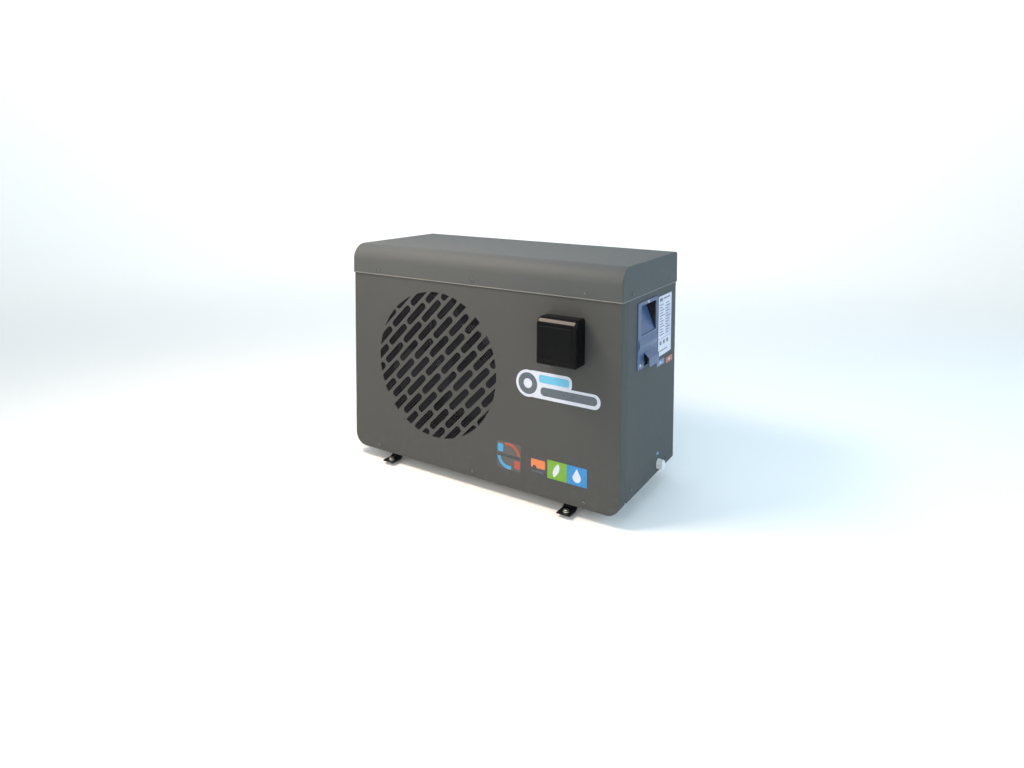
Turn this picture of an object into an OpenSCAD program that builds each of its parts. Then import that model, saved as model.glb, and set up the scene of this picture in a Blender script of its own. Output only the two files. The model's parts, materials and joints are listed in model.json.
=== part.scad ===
// Air-source pool heat pump in a folded sheet-steel case, in millimetres.
// The origin is on the floor, midway between the four foot screws.
// +X points to the machine side, -Y to the air outlet, +Z up.

/* [Case] */
// Width of the front panel
body_w = 900; // [890:1:910]
// Depth from the front panel's face to the rear face
body_d = 379; // [375:1:385]
// Height of the line where the top cover meets the panels
split_z = 571; // [568:1:580]
// Height of the top of the cover
top_z = 658; // [655:1:670]
// Height of the front panel's lower edge
clear_z = 30; // [30:1:34]
// Height of the end and rear panels' lower edge
skirt_z = 55; // [50:1:58]
// Thickness of the case's sheet steel
sheet = 1.2; // [1:0.1:1.4]
// Radius of the front panel's two lower corners
corner_r = 40; // [36:1:44]
// Radius of the cover's front edge
cover_r = 45; // [40:1:48]
// How far the cover stands out over the panels
cover_over = 2.5; // [2.5:0.1:3]
// Depth of the front panel's folded flange
flange_d = 38; // [34:1:42]

/* [Air outlet] */
// Axis of the fan from the middle of the case
fan_x = -133; // [-136:1:-130]
// Height of the fan's axis
fan_z = 327.5; // [325:0.5:330]
// Radius of the round slotted grille
grille_r = 212; // [208:1:214]
// Length of a slot, end to end
slot_l = 90; // [84:1:92]
// Width of a slot
slot_w = 20; // [16:1:22]
// Slot pitch along the slots
slot_pitch = 100; // [100:1:110]
// Distance between rows of slots
row_pitch = 30; // [28:1:34]
// Slope of the slots
slot_angle = 45; // [30:1:60]

/* [Fan] */
// Radius of the blade tips
blade_r = 200; // [190:1:202]
// Number of blades
blade_count = 3; // [3:1:5]
// Rest angle of the first blade below the horizontal
blade_start = 38; // [0:1:119]
// Pitch of the blades against the plane of rotation
blade_pitch = 30; // [24:1:32]
// Radius of the hub
hub_r = 48; // [44:1:52]
// Radius of the motor shaft
shaft_r = 6; // [5:0.5:7]
// Radial running clearance of the shaft
run_gap = 0.06; // [0.03:0.01:0.09]

/* [Feet] */
// Distance between the foot rails
rail_pitch = 600; // [590:1:610]
// Distance between a rail's two screws
screw_pitch = 383; // [380:1:386]
// Width of a foot rail
rail_w = 40; // [36:1:44]
// Radius of the foot screws
foot_screw_r = 4; // [4:0.5:5]
// Height of the foot tabs' underside
tab_z = 9.5; // [9:0.5:11]

/* [Controller] */
// Middle of the controller from the middle of the case
ctrl_x = 295; // [290:1:300]
// Height of the controller's middle
ctrl_z = 464; // [460:1:468]
// Width of the flap
lid_w = 114; // [110:1:118]
// Height of the flap
lid_h = 120; // [116:1:122]
// How far the flap stands out from the front panel
lid_out = 56; // [52:1:60]
// Button travel
button_travel = 1.2; // [1:0.1:1.5]

/* [Water connections] */
// Middle of the water connections from the middle of the case
water_x = 330; // [328:1:334]
// Height of the inlet
inlet_z = 150; // [145:1:155]
// Height of the outlet
outlet_z = 380; // [370:1:390]
// Bore radius of the sockets for the pool pipes
socket_r = 25.1; // [25.05:0.05:25.3]
// Depth of the sockets
socket_l = 42; // [38:1:46]

/* [Hidden] */
$fn = 48;
front_y = -body_d / 2;
rear_y = body_d / 2;
side_x = body_w / 2;
panel_top = split_z + 24;
cover_screw_z = split_z + 15;
rear_corner_r = 8;
seam_y = front_y + flange_d;
rear_plate_y = rear_y - 2 * sheet;
pan_gap = 1.5;
pan_z = clear_z + 1.5;
pan_h = 55;
pan_corner_rise = 2.2;
screw_hole_r = 2.2;
case_screw_xs = [-350, 0, 350];
side_screw_y = 130;
foot_hole_r = foot_screw_r + 0.5;
steel_grey = [0.37, 0.37, 0.35];
end_grey = [0.36, 0.40, 0.42];
moulding_blue = [0.27, 0.35, 0.44];
copper = [0.72, 0.42, 0.28];
eps = 1;
fan_y = front_y + 50;
motor_y = fan_y + 42;
label_t = 0.3;

// Machine side layout
part_x = 205;
comp = [320, -75];
comp_r = 62;
comp_z = 56;
comp_top = 332;
comp_foot_r = 88;
acc = [390, -145];
acc_r = 29;
hx = [water_x, 95];
hx_r = 75;
hx_z = 60;
hx_top = 470;
valve_z = 395;
valve_y = comp[1];
valve_stub_x = [290, 320, 350];
pipe_r = 5;
bend_r = 12;
box_lo = [212, -183, 440];
box_hi = [410, -8, 560];
drain_y = 67.5;
drain_z = 77;
drain_r = 9;
drain_x1 = side_x + 13;
valve_end_y = valve_y + 28;
coil_pipe_y = 161;
liquid_x = 228;
liquid_low_z = 83;
liquid_top_z = 300;

// Coil layout
coil_x0 = -420;
coil_x1 = 175;
coil_y0 = 141;
coil_y1 = 179.5;
coil_z0 = 40;
coil_z1 = 548;
coil_tube_r = 4.8;
coil_web = 6;
fin_t = 2;
fin_gaps = 59;
fin_pitch = (coil_x1 - coil_x0 - fin_t) / fin_gaps;
coil_rows_y = [150, 172];
coil_bend_pitch = 52;
coil_bend_z0 = 96;
coil_bend_span = 26;
coil_bend_count = 9;

// Side moulding layout
moulding_y0 = -96.5;
moulding_y1 = 39.5;
moulding_z0 = 380;
moulding_z1 = 555;
scoop_y0 = -74.5;
scoop_y1 = 27.5;
scoop_z0 = 467;
scoop_z1 = 545;
scoop_depth = 30;
rim_out = 3.5;
ridge_z = 441;
hood_y0 = -54.5;
hood_y1 = 15.5;
hood_z = 382;
hood_h = 39;
hood_out = 15;
wall = 2.5;

// Controller layout
lid_x0 = ctrl_x - lid_w / 2;
lid_z0 = ctrl_z - lid_h / 2;
lid_z1 = ctrl_z + lid_h / 2;
lid_back_y = front_y - 6.5;
lid_front_y = front_y - lid_out;
lid_wall = 2.5;
lid_chamfer_z = 14;
lid_chamfer_y = 12;
lid_edge_r = 8;
hinge_y = front_y - 10.5;
hinge_z = lid_z1 - 6;
hinge_pin_r = 1.5;
hinge_span = 96;
ear_w = 5;
base_top_z = lid_z1 - 13;
console_y = front_y - 32;
console_w = 92;
console_z0 = ctrl_z - 48;
console_z1 = ctrl_z + 42;
button_r = 6;
button_z = ctrl_z - 26;
button_pitch = 21;
button_names = ["power", "mode", "up", "down"];

// Union layout
thread_r = 33;
stub_end_y = rear_y + 25.5;
seal_t = 2;
tail_flange_t = 6;
tail_y0 = stub_end_y + seal_t;
tail_end_y = tail_y0 + tail_flange_t + socket_l + 6;
tail_r = 30;
nut_y0 = rear_y + 8;
nut_y1 = tail_y0 + tail_flange_t + 8;
nut_r = 44;
thread_gap = 0.08;

// ---------- shared shapes ----------

// Box between two corners
module box(lo, hi) {
    translate(lo) cube(hi - lo);
}

// Cylinder along +X, +Y or +Z from a point
module cyl_x(at, r, len) {
    translate(at) rotate([0, 90, 0]) cylinder(r = r, h = len);
}

module cyl_y(at, r, len) {
    translate(at) rotate([-90, 0, 0]) cylinder(r = r, h = len);
}

module cyl_z(at, r, len) {
    translate(at) cylinder(r = r, h = len);
}

// Extrudes an (X, Z) outline along +Y
module along_y(y0, len) {
    translate([0, y0 + len, 0]) rotate([90, 0, 0]) linear_extrude(len) children();
}

// Extrudes a (Y, Z) outline along +X
module along_x(x0, len) {
    translate([x0, 0, 0]) rotate([90, 0, 90]) linear_extrude(len) children();
}

// Rectangle between two corners
module rect(lo, hi) {
    translate(lo) square(hi - lo);
}

// Rectangle with four round corners
module round_rect(lo, hi, r) {
    rect([lo[0] + r, lo[1]], [hi[0] - r, hi[1]]);
    rect([lo[0], lo[1] + r], [hi[0], hi[1] - r]);
    for (x = [lo[0] + r, hi[0] - r])
        for (y = [lo[1] + r, hi[1] - r])
            translate([x, y]) circle(r);
}

// Rectangle centred on x = 0 whose two lower corners are round
module round_bottom(w, z0, z1, r) {
    rect([-w / 2, z0 + r], [w / 2, z1]);
    rect([-w / 2 + r, z0], [w / 2 - r, z0 + r + eps]);
    for (s = [-1, 1])
        translate([s * (w / 2 - r), z0 + r]) intersection() {
            circle(r, $fn = 96);
            translate([-r, -r]) square([2 * r, r + eps]);
        }
}

// Ring along +Y
module ring_y(at, r_out, r_in, len) {
    difference() {
        cyl_y(at, r_out, len);
        cyl_y(at - [0, eps, 0], r_in, len + 2 * eps);
    }
}

// Ring along +Z
module ring_z(at, r_out, r_in, len) {
    difference() {
        cyl_z(at, r_out, len);
        cyl_z(at - [0, 0, eps], r_in, len + 2 * eps);
    }
}

function unit(v) = v / norm(v);

// Quarter bend at corner p, coming in along a and leaving along b
module elbow(p, a, b, r) {
    c = p - bend_r * a + bend_r * b;
    n = cross(a, b);
    multmatrix([
        [-b[0], a[0], n[0], c[0]],
        [-b[1], a[1], n[1], c[1]],
        [-b[2], a[2], n[2], c[2]],
        [0, 0, 0, 1]
    ])
        rotate_extrude(angle = 90) translate([bend_r, 0]) circle(r, $fn = 24);
}

// Straight stretch between two points on a line parallel to an axis
module straight(p, q, r) {
    d = unit(q - p);
    turn = abs(d[2]) > 0.5 ? [d[2] > 0 ? 0 : 180, 0, 0]
        : abs(d[0]) > 0.5 ? [0, d[0] > 0 ? 90 : -90, 0]
        : [d[1] > 0 ? -90 : 90, 0, 0];
    translate(p) rotate(turn) cylinder(r = r, h = norm(q - p), $fn = 24);
}

// Copper pipe through corner points, with a bend at each inner point
module pipe(points, r = pipe_r) {
    last = len(points) - 1;
    for (i = [0:last - 1]) {
        d = unit(points[i + 1] - points[i]);
        p = points[i] + (i > 0 ? bend_r : 0) * d;
        q = points[i + 1] - (i + 1 < last ? bend_r : 0) * d;
        straight(p, q, r);
    }
    for (i = [1:1:last - 1])
        elbow(points[i], unit(points[i] - points[i - 1]), unit(points[i + 1] - points[i]), r);
}

// ---------- places of the case screws; local +Z points out of the case ----------

module front_low_places() {
    for (x = case_screw_xs)
        translate([x, front_y, 47]) rotate([90, 0, 0]) children();
}

module cover_front_places() {
    for (x = case_screw_xs)
        translate([x, front_y - cover_over, cover_screw_z]) rotate([90, 0, 0]) children();
}

module cover_end_places(side) {
    for (y = [-side_screw_y, side_screw_y])
        translate([side * (side_x + cover_over), y, cover_screw_z])
            rotate([0, side * 90, 0]) children();
}

module end_low_places(side) {
    translate([side * side_x, -122, 80]) rotate([0, side * 90, 0]) children();
    translate([side * side_x, 127, 68]) rotate([0, side * 90, 0]) children();
}

module rear_low_places() {
    for (x = case_screw_xs)
        translate([x, rear_y - sheet, 66]) rotate([-90, 0, 0]) children();
}

module cover_rear_places() {
    for (x = case_screw_xs)
        translate([x, rear_y + cover_over, cover_screw_z]) rotate([-90, 0, 0]) children();
}

module moulding_places() {
    for (p = [[moulding_y0 + 15, moulding_z0 + 12], [moulding_y1 - 15, moulding_z0 + 12],
              [moulding_y0 + 68, moulding_z1 - 4.5]])
        translate([side_x + rim_out, p[0], p[1]]) rotate([0, 90, 0]) children();
}

module screw_hole() {
    translate([0, 0, -12]) cylinder(r = screw_hole_r, h = 14);
}

// Pan-head screw with a cross recess
module case_screw() {
    difference() {
        union() {
            translate([0, 0, -8]) cylinder(r = 2, h = 8 + eps);
            cylinder(r = 4.5, h = 1.4);
            translate([0, 0, 1.4]) cylinder(r1 = 4.5, r2 = 3, h = 1.2);
        }
        for (a = [0, 90])
            rotate(a) translate([-2.2, -0.5, 1.4]) cube([4.4, 1, 3]);
    }
}

// ---------- case ----------

// Cover's side outline (Y, Z), set in by a distance
module cover_outline(inset) {
    y0 = front_y - cover_over + inset;
    y1 = rear_y + cover_over - inset;
    z1 = top_z - inset;
    rf = cover_r - inset;
    rr = rear_corner_r - inset;
    rect([y0, split_z], [y1, z1 - rf]);
    rect([y0 + rf, split_z], [y1, z1 - rr]);
    rect([y0 + rf, split_z], [y1 - rr, z1]);
    translate([y1 - rr, z1 - rr]) circle(rr);
    intersection() {
        translate([y0 + rf, z1 - rf]) circle(rf, $fn = 96);
        rect([y0, split_z], [y0 + rf, z1]);
    }
}

module top_cover() {
    w = body_w + 2 * cover_over;
    color(end_grey) difference() {
        along_x(-w / 2, w) cover_outline(0);
        along_x(-w / 2 + sheet, w - 2 * sheet) {
            cover_outline(sheet);
            rect([front_y - cover_over + sheet, split_z - eps],
                 [rear_y + cover_over - sheet, split_z + eps]);
        }
        cover_front_places() screw_hole();
        cover_end_places(1) screw_hole();
        cover_end_places(-1) screw_hole();
        cover_rear_places() screw_hole();
    }
}

// One slot with round ends, centred on a point of the slot grid
module slot(along, across, depth) {
    half = (slot_l - slot_w) / 2;
    translate([along, 0, across]) {
        translate([-half, 0, -slot_w / 2]) cube([2 * half, depth, slot_w]);
        for (s = [-1, 1])
            cyl_y([s * half, 0, 0], slot_w / 2, depth);
    }
}

// Distance from the grille's middle to the nearest edge of a slot
function slot_reach(along, across) =
    norm([max(abs(along) - (slot_l - slot_w) / 2, 0), across]) - slot_w / 2;

// The slots that fall inside the round grille, cut off at its rim
module grille_slots() {
    rows = ceil(grille_r / row_pitch);
    cols = ceil(grille_r / slot_pitch) + 1;
    depth = 6 * sheet;
    translate([fan_x, front_y - 2 * sheet, fan_z]) intersection() {
        cyl_y([0, 0, 0], grille_r, depth);
        rotate([0, -slot_angle, 0])
            for (j = [-rows:rows])
                for (i = [-cols:cols]) {
                    along = slot_pitch * (i + (j % 2 == 0 ? 0 : 0.5));
                    if (slot_reach(along, j * row_pitch) < grille_r - 3)
                        slot(along, j * row_pitch, depth);
                }
    }
}

module front_panel() {
    color(steel_grey) difference() {
        along_y(front_y, flange_d) round_bottom(body_w, clear_z, panel_top, corner_r);
        along_y(front_y + sheet, flange_d)
            round_bottom(body_w - 2 * sheet, clear_z + sheet, panel_top + eps, corner_r - sheet);
        grille_slots();
        cyl_y([ctrl_x, front_y - eps, ctrl_z], 12, 4);
        front_low_places() screw_hole();
        translate([0, cover_over, 0]) cover_front_places() screw_hole();
    }
}

// End panel with a return flange at its rear edge
module end_panel(side) {
    x_in = side * (side_x - sheet);
    x_out = side * side_x;
    x_fold = side * (side_x - 20);
    box([min(x_in, x_out), seam_y + 0.5, skirt_z], [max(x_in, x_out), rear_y, panel_top]);
    box([min(x_fold, x_out), rear_y - sheet, skirt_z], [max(x_fold, x_out), rear_y, panel_top]);
}

module right_side_panel() {
    color(end_grey) difference() {
        end_panel(1);
        box([side_x - 5, scoop_y0 - wall - 0.5, scoop_z0 - wall - 0.5],
            [side_x + 5, scoop_y1 + wall + 0.5, scoop_z1 + wall + 0.5]);
        box([side_x - 5, hood_y0 - 2, hood_z + 2], [side_x + 5, hood_y1 + 2, hood_z + hood_h]);
        cyl_x([side_x - 5, drain_y, drain_z], 12, 10);
        end_low_places(1) screw_hole();
        translate([-cover_over, 0, 0]) cover_end_places(1) screw_hole();
        translate([-rim_out, 0, 0]) moulding_places() screw_hole();
    }
}

module left_side_panel() {
    color(end_grey) difference() {
        end_panel(-1);
        box([-side_x - 5, scoop_y0 - 6, scoop_z0 - 6], [-side_x + 5, scoop_y1 + 6, scoop_z1 + 3]);
        end_low_places(-1) screw_hole();
        translate([cover_over, 0, 0]) cover_end_places(-1) screw_hole();
    }
}

module rear_panel() {
    color(end_grey) difference() {
        box([-side_x + 2, rear_plate_y, skirt_z], [side_x - 2, rear_plate_y + sheet, panel_top]);
        box([coil_x0 - 2, rear_plate_y - eps, pan_z + pan_h + 3.5],
            [coil_x1 + 8, rear_y + eps, coil_z1 - 4]);
        for (z = [inlet_z, outlet_z])
            cyl_y([water_x, rear_plate_y - eps, z], thread_r + 1.5, 5);
        rear_low_places() screw_hole();
        translate([0, -cover_over - sheet, 0]) cover_rear_places() screw_hole();
    }
}

module base_pan() {
    w = body_w - 2 * pan_gap - 2 * sheet;
    r = corner_r - pan_gap - sheet;
    y0 = front_y + sheet + 0.3;
    y1 = rear_plate_y - 0.3;
    color(steel_grey) difference() {
        along_y(y0, y1 - y0) round_bottom(w, pan_z, pan_z + pan_h, r);
        along_y(y0 + sheet, y1 - y0 - 2 * sheet)
            round_bottom(w - 2 * sheet, pan_z + sheet, pan_z + pan_h + eps, r - sheet);
        cyl_z([-100, 60, pan_z - eps], 7, 6);
        cyl_x([side_x - 8, drain_y, drain_z], 12, 10);
        front_low_places() screw_hole();
        rear_low_places() screw_hole();
        end_low_places(1) screw_hole();
        end_low_places(-1) screw_hole();
    }
}

// Wire guard over the coil, as crossing bars
module coil_guard() {
    bar = 2.5;
    x0 = coil_x0 - 5;
    x1 = coil_x1 + 11;
    z0 = pan_z + pan_h + 0.5;
    z1 = coil_z1 - 1;
    y = rear_plate_y + sheet;
    color("dimgray") {
        for (i = [0:8])
            translate([0, y, z0 + i * (z1 - z0 - bar) / 8]) box([x0, 0, 0], [x1, bar, bar]);
        for (i = [0:20])
            translate([x0 + i * (x1 - x0 - bar) / 20, y + bar, 0]) box([0, 0, z0], [bar, bar, z1]);
    }
}

// Folded wall between the air side and the machine side
module partition_plate() {
    floor_z = pan_z + sheet;
    color("silver") difference() {
        union() {
            box([part_x, front_y + 3, floor_z + 1], [part_x + sheet, rear_plate_y - 3, panel_top]);
            box([part_x, front_y + 3, floor_z], [part_x + 15, rear_plate_y - 3, floor_z + sheet]);
        }
        cyl_x([part_x - 5, coil_pipe_y, valve_z], 8, 12);
        cyl_x([part_x - 5, coil_pipe_y, liquid_low_z], 8, 12);
    }
}

// Joggled foot rail: raised under the base, flat tabs at both ends
module foot_rail() {
    t = 3;
    tab = tab_z + t;
    up = pan_z;
    tip = screw_pitch / 2 + 16;
    knee = screw_pitch / 2 - 16;
    rise = 145;
    difference() {
        translate([-rail_w / 2, 0, 0]) rotate([90, 0, 90]) linear_extrude(rail_w)
            polygon([
                [-tip, tab_z], [-knee + 2, tab_z], [-rise + 2, up - t], [rise - 2, up - t],
                [knee - 2, tab_z], [tip, tab_z], [tip, tab], [knee, tab],
                [rise, up], [-rise, up], [-knee, tab], [-tip, tab]
            ]);
        for (s = [-1, 1])
            cyl_z([0, s * screw_pitch / 2, tab_z - eps], foot_hole_r, t + 2 * eps);
    }
}

module foot_rails() {
    color([0.08, 0.08, 0.08])
        for (s = [-1, 1])
            translate([s * rail_pitch / 2, 0, 0]) foot_rail();
}

// Hex-head screws with a shoulder in the foot tab's hole and a free shank below it
module foot_screws() {
    head_z = tab_z + 3;
    color("silver")
        for (sx = [-1, 1])
            for (sy = [-1, 1])
                translate([sx * rail_pitch / 2, sy * screw_pitch / 2, 0]) {
                    cylinder(r = foot_screw_r, h = tab_z);
                    translate([0, 0, tab_z - 0.2])
                        cylinder(r = foot_hole_r, h = head_z - tab_z + 0.2);
                    translate([0, 0, head_z]) cylinder(r = 8, h = 1.2);
                    translate([0, 0, head_z + 1.2]) cylinder(r = 6.5 / cos(30), h = 5, $fn = 6);
                }
}

module case_screws() {
    color("silver") {
        front_low_places() case_screw();
        cover_front_places() case_screw();
        cover_rear_places() case_screw();
        rear_low_places() case_screw();
        for (side = [-1, 1]) {
            cover_end_places(side) case_screw();
            end_low_places(side) case_screw();
        }
        moulding_places() case_screw();
    }
}

// ---------- air side ----------

module grille_mesh() {
    y = front_y + sheet + 0.3;
    color([0.05, 0.05, 0.06]) {
        cyl_y([fan_x, y, fan_z], grille_r + 3, 0.8);
        ring_y([fan_x, y + 0.8, fan_z], grille_r + 3, grille_r - 2, 0.7);
    }
}

// Bell mouth round the fan
module fan_shroud() {
    flare = grille_r + 5;
    throat = blade_r + 6;
    t = 2;
    color([0.12, 0.12, 0.13]) translate([fan_x, front_y + sheet, fan_z]) rotate([-90, 0, 0])
        rotate_extrude($fn = 96) polygon([
            [flare, 0.2], [flare + 16, 0.2], [flare + 16, 0.2 + t], [flare + t, 0.2 + t],
            [throat + t, 24], [throat + t, 72], [throat, 72], [throat, 24 - t], [flare, 4]
        ]);
}

// One flat blade, pitched and cut to a ring sector
module fan_blade() {
    intersection() {
        ring_y([0, -30, 0], blade_r, hub_r - 3, 60);
        rotate([blade_pitch, 0, 0])
            box([hub_r - 5, -1.5, -62], [blade_r, 1.5, 62]);
    }
}

module fan_rotor() {
    color([0.55, 0.57, 0.58]) translate([fan_x, fan_y, fan_z]) difference() {
        union() {
            cyl_y([0, -26, 0], hub_r, 52);
            for (k = [0:blade_count - 1])
                rotate([0, blade_start + k * 360 / blade_count, 0]) fan_blade();
        }
        cyl_y([0, -27, 0], shaft_r, 54);
        ring_y([0, -10, 0], hub_r - 4, shaft_r + 8, 40);
    }
}

module fan_shaft() {
    color("silver") {
        cyl_y([fan_x, fan_y - 34, fan_z], shaft_r, motor_y + 61 - (fan_y - 34));
        ring_y([fan_x, fan_y - 32, fan_z], 9, shaft_r, 6);
    }
}

module fan_motor() {
    color("gray") difference() {
        union() {
            cyl_y([fan_x, motor_y + 8, fan_z], 58, 56);
            cyl_y([fan_x, motor_y, fan_z], 22, 9);
            cyl_y([fan_x, motor_y + 63, fan_z], 46, 8);
            for (s = [-1, 1])
                for (z = [fan_z - 30, fan_z + 30])
                    translate([fan_x + s * 65, motor_y + 52, z]) cube([34, 4, 16], center = true);
        }
        cyl_y([fan_x, motor_y - eps, fan_z], shaft_r + run_gap, 63);
    }
}

// Two posts with cross plates that carry the motor
module motor_bracket() {
    y0 = motor_y + 54;
    z0 = pan_z + sheet;
    color("silver") {
        for (s = [-1, 1])
            translate([fan_x + s * 72, 0, 0]) {
                box([-12, y0, z0], [12, y0 + 2, coil_z1 + 2]);
                box([s * 11 - 1, y0, z0], [s * 11 + 1, y0 + 18, coil_z1 + 2]);
                box([-12, y0, coil_z1], [12, coil_y0 + 30, coil_z1 + 2]);
            }
        for (z = [fan_z - 90, fan_z + 70])
            box([fan_x - 70, y0, z], [fan_x + 70, y0 + 2, z + 20]);
    }
}

// Fin block of the air coil
module coil_fins() {
    color([0.7, 0.72, 0.74]) difference() {
        box([coil_x0, coil_y0, coil_z0], [coil_x1, coil_y1, coil_z1]);
        for (i = [0:fin_gaps - 1])
            translate([coil_x0 + fin_t + i * fin_pitch, 0, 0])
                box([0, coil_y0 + coil_web, coil_z0 - eps],
                    [fin_pitch - fin_t, coil_y1 + eps, coil_z1 + eps]);
    }
}

// Half-round tube turns at one end of the coil
module coil_bend_row(side) {
    x = side > 0 ? coil_x1 + 1.5 : coil_x0 - 1.5;
    r = coil_bend_span / 2;
    for (k = [0:coil_bend_count - 1])
        for (y = coil_rows_y)
            translate([x, y, coil_bend_z0 + k * coil_bend_pitch + (side > 0 ? 0 : coil_bend_span) + r])
                rotate([90, 0, 0]) rotate(-90)
                    rotate([0, 0, side > 0 ? 0 : 180])
                        rotate_extrude(angle = 180) translate([r, 0]) circle(coil_tube_r, $fn = 24);
}

module coil_bends() {
    color(copper) {
        coil_bend_row(1);
        translate([0, 0, -coil_bend_pitch]) coil_bend_row(-1);
    }
}

module coil_end_plates() {
    color("silver")
        for (x = [coil_x0 - 1.5, coil_x1])
            box([x, coil_y0 - 4, pan_z + sheet + (x < 0 ? pan_corner_rise : 0)],
                [x + 1.5, coil_y1 + 2, coil_z1 + 4]);
}

// ---------- machine side ----------

module compressor() {
    color([0.1, 0.1, 0.1]) {
        translate([comp[0], comp[1], 0]) rotate_extrude($fn = 72) polygon([
            [0, comp_z], [comp_r - 12, comp_z], [comp_r, comp_z + 14], [comp_r, comp_top - 40],
            [comp_r - 6, comp_top - 18], [comp_r - 24, comp_top - 4], [8, comp_top], [0, comp_top]
        ]);
        for (a = [30:120:270])
            translate([comp[0], comp[1], comp_z - 3]) rotate(a) difference() {
                union() {
                    translate([0, -20, 0]) cube([comp_foot_r, 40, 4]);
                    translate([comp_foot_r, 0, 0]) cylinder(r = 20, h = 4);
                }
                translate([comp_foot_r, 0, -eps]) cylinder(r = 6, h = 6);
            }
        translate([comp[0] - 28, comp[1], comp_top - 20]) cylinder(r = 14, h = 26);
    }
}

// Rubber mounts with their studs' sleeves
module compressor_mounts() {
    z0 = pan_z + sheet;
    color([0.15, 0.15, 0.15])
        for (a = [30:120:270])
            translate([comp[0], comp[1], z0]) rotate(a) translate([comp_foot_r, 0, 0]) {
                cylinder(r = 13, h = 53 - z0);
                cylinder(r = 6, h = 60 - z0);
                translate([0, 0, 57 - z0]) cylinder(r = 11, h = 5);
            }
}

module accumulator() {
    d = norm(acc - comp);
    turn = atan2(comp[1] - acc[1], comp[0] - acc[0]);
    color([0.1, 0.1, 0.1]) {
        translate([acc[0], acc[1], 0]) rotate_extrude() polygon([
            [0, 112], [10, 112], [acc_r, 128], [acc_r, 282], [10, 298], [0, 298]
        ]);
        translate([acc[0], acc[1], 0]) {
            translate([0, 0, 84]) cylinder(r = 6, h = 29);
            translate([0, 0, 92]) rotate([0, 90, turn]) cylinder(r = 5, h = d - comp_r + 2);
            rotate(turn) box([acc_r - 4, -12, 200], [d - comp_r + 2, 12, 202]);
        }
    }
}

// Water-to-refrigerant exchanger tank
module heat_exchanger() {
    color([0.8, 0.8, 0.78]) difference() {
        union() {
            translate([hx[0], hx[1], 0]) rotate_extrude($fn = 72) polygon([
                [0, hx_z], [hx_r - 6, hx_z], [hx_r, hx_z + 6], [hx_r, hx_top - 14],
                [hx_r - 12, hx_top - 4], [0, hx_top - 4]
            ]);
            cyl_z([350, 95, hx_top - 6], 11, 8);
            for (z = [inlet_z, outlet_z])
                cyl_y([hx[0], hx[1], z], thread_r + 3, 83);
            cyl_x([250, hx[1], liquid_top_z], 11, 40);
            cyl_x([hx[0] + 40, hx[1], inlet_z], 14, 40);
            cyl_x([hx[0] + 40, drain_y, drain_z], 12, 45);
        }
        for (z = [inlet_z, outlet_z])
            cyl_y([hx[0], hx[1] + 20, z], 25, 70);
    }
}

module exchanger_bracket() {
    z0 = pan_z + sheet;
    color("silver") {
        ring_z([hx[0], hx[1], z0], hx_r + 4, hx_r - 18, 3);
        difference() {
            ring_z([hx[0], hx[1], z0 + 2], hx_r - 15, hx_r - 18, hx_z - z0 - 2);
            cyl_y([hx[0], -10, 46], 6, 220);
        }
        ring_z([hx[0], hx[1], 225], hx_r + 2, hx_r, 20);
        box([hx[0] + hx_r + 1, hx[1] - 12, 225], [side_x - sheet, hx[1] + 12, 227]);
    }
}

module four_way_valve() {
    color([0.75, 0.6, 0.3]) {
        cyl_x([262, valve_y, valve_z], 13, 112);
        cyl_x([258, valve_y, valve_z], 8, 120);
        cyl_z([320, valve_y, valve_z - 28], pipe_r + 1, 20);
        for (x = valve_stub_x)
            cyl_y([x, valve_y + 8, valve_z], pipe_r + 1, 20);
    }
}

module expansion_valve() {
    color([0.75, 0.6, 0.3]) {
        cyl_z([liquid_x, hx[1], 132], 12, 34);
        cyl_z([liquid_x, hx[1], 126], 7, 46);
        cyl_y([liquid_x, hx[1] - 40, 150], 15, 30);
    }
}

module filter_drier() {
    color(copper) translate([liquid_x, hx[1], 0]) rotate_extrude() polygon([
        [0, 188], [6, 188], [12, 198], [12, 252], [6, 262], [0, 262]
    ]);
}

module discharge_pipe() {
    color(copper) straight([comp[0], comp[1], comp_top], [comp[0], comp[1], valve_z - 28], pipe_r);
}

module suction_pipe() {
    y1 = valve_end_y + 26;
    z1 = comp_top + 20;
    color(copper) pipe([
        [valve_stub_x[1], valve_end_y, valve_z], [valve_stub_x[1], y1, valve_z],
        [valve_stub_x[1], y1, z1], [acc[0], y1, z1], [acc[0], acc[1], z1], [acc[0], acc[1], 298]
    ]);
}

// From the reversing valve to the coil and to the exchanger
module gas_pipes() {
    color(copper) {
        pipe([
            [valve_stub_x[0], valve_end_y, valve_z], [valve_stub_x[0], -4, valve_z],
            [liquid_x, -4, valve_z], [liquid_x, coil_pipe_y, valve_z],
            [coil_x1 + 1.5, coil_pipe_y, valve_z]
        ]);
        pipe([
            [valve_stub_x[2], valve_end_y, valve_z], [valve_stub_x[2], 5, valve_z],
            [valve_stub_x[2], 5, hx_top + 30], [valve_stub_x[2], 95, hx_top + 30],
            [valve_stub_x[2], 95, hx_top + 2]
        ]);
    }
}

module liquid_pipes() {
    color(copper) {
        pipe([[250, hx[1], liquid_top_z], [liquid_x, hx[1], liquid_top_z], [liquid_x, hx[1], 262]]);
        straight([liquid_x, hx[1], 188], [liquid_x, hx[1], 172], pipe_r);
        pipe([
            [liquid_x, hx[1], 126], [liquid_x, hx[1], liquid_low_z],
            [liquid_x, coil_pipe_y, liquid_low_z], [coil_x1 + 1.5, coil_pipe_y, liquid_low_z]
        ]);
    }
}

// ---------- electrical parts ----------

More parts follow.
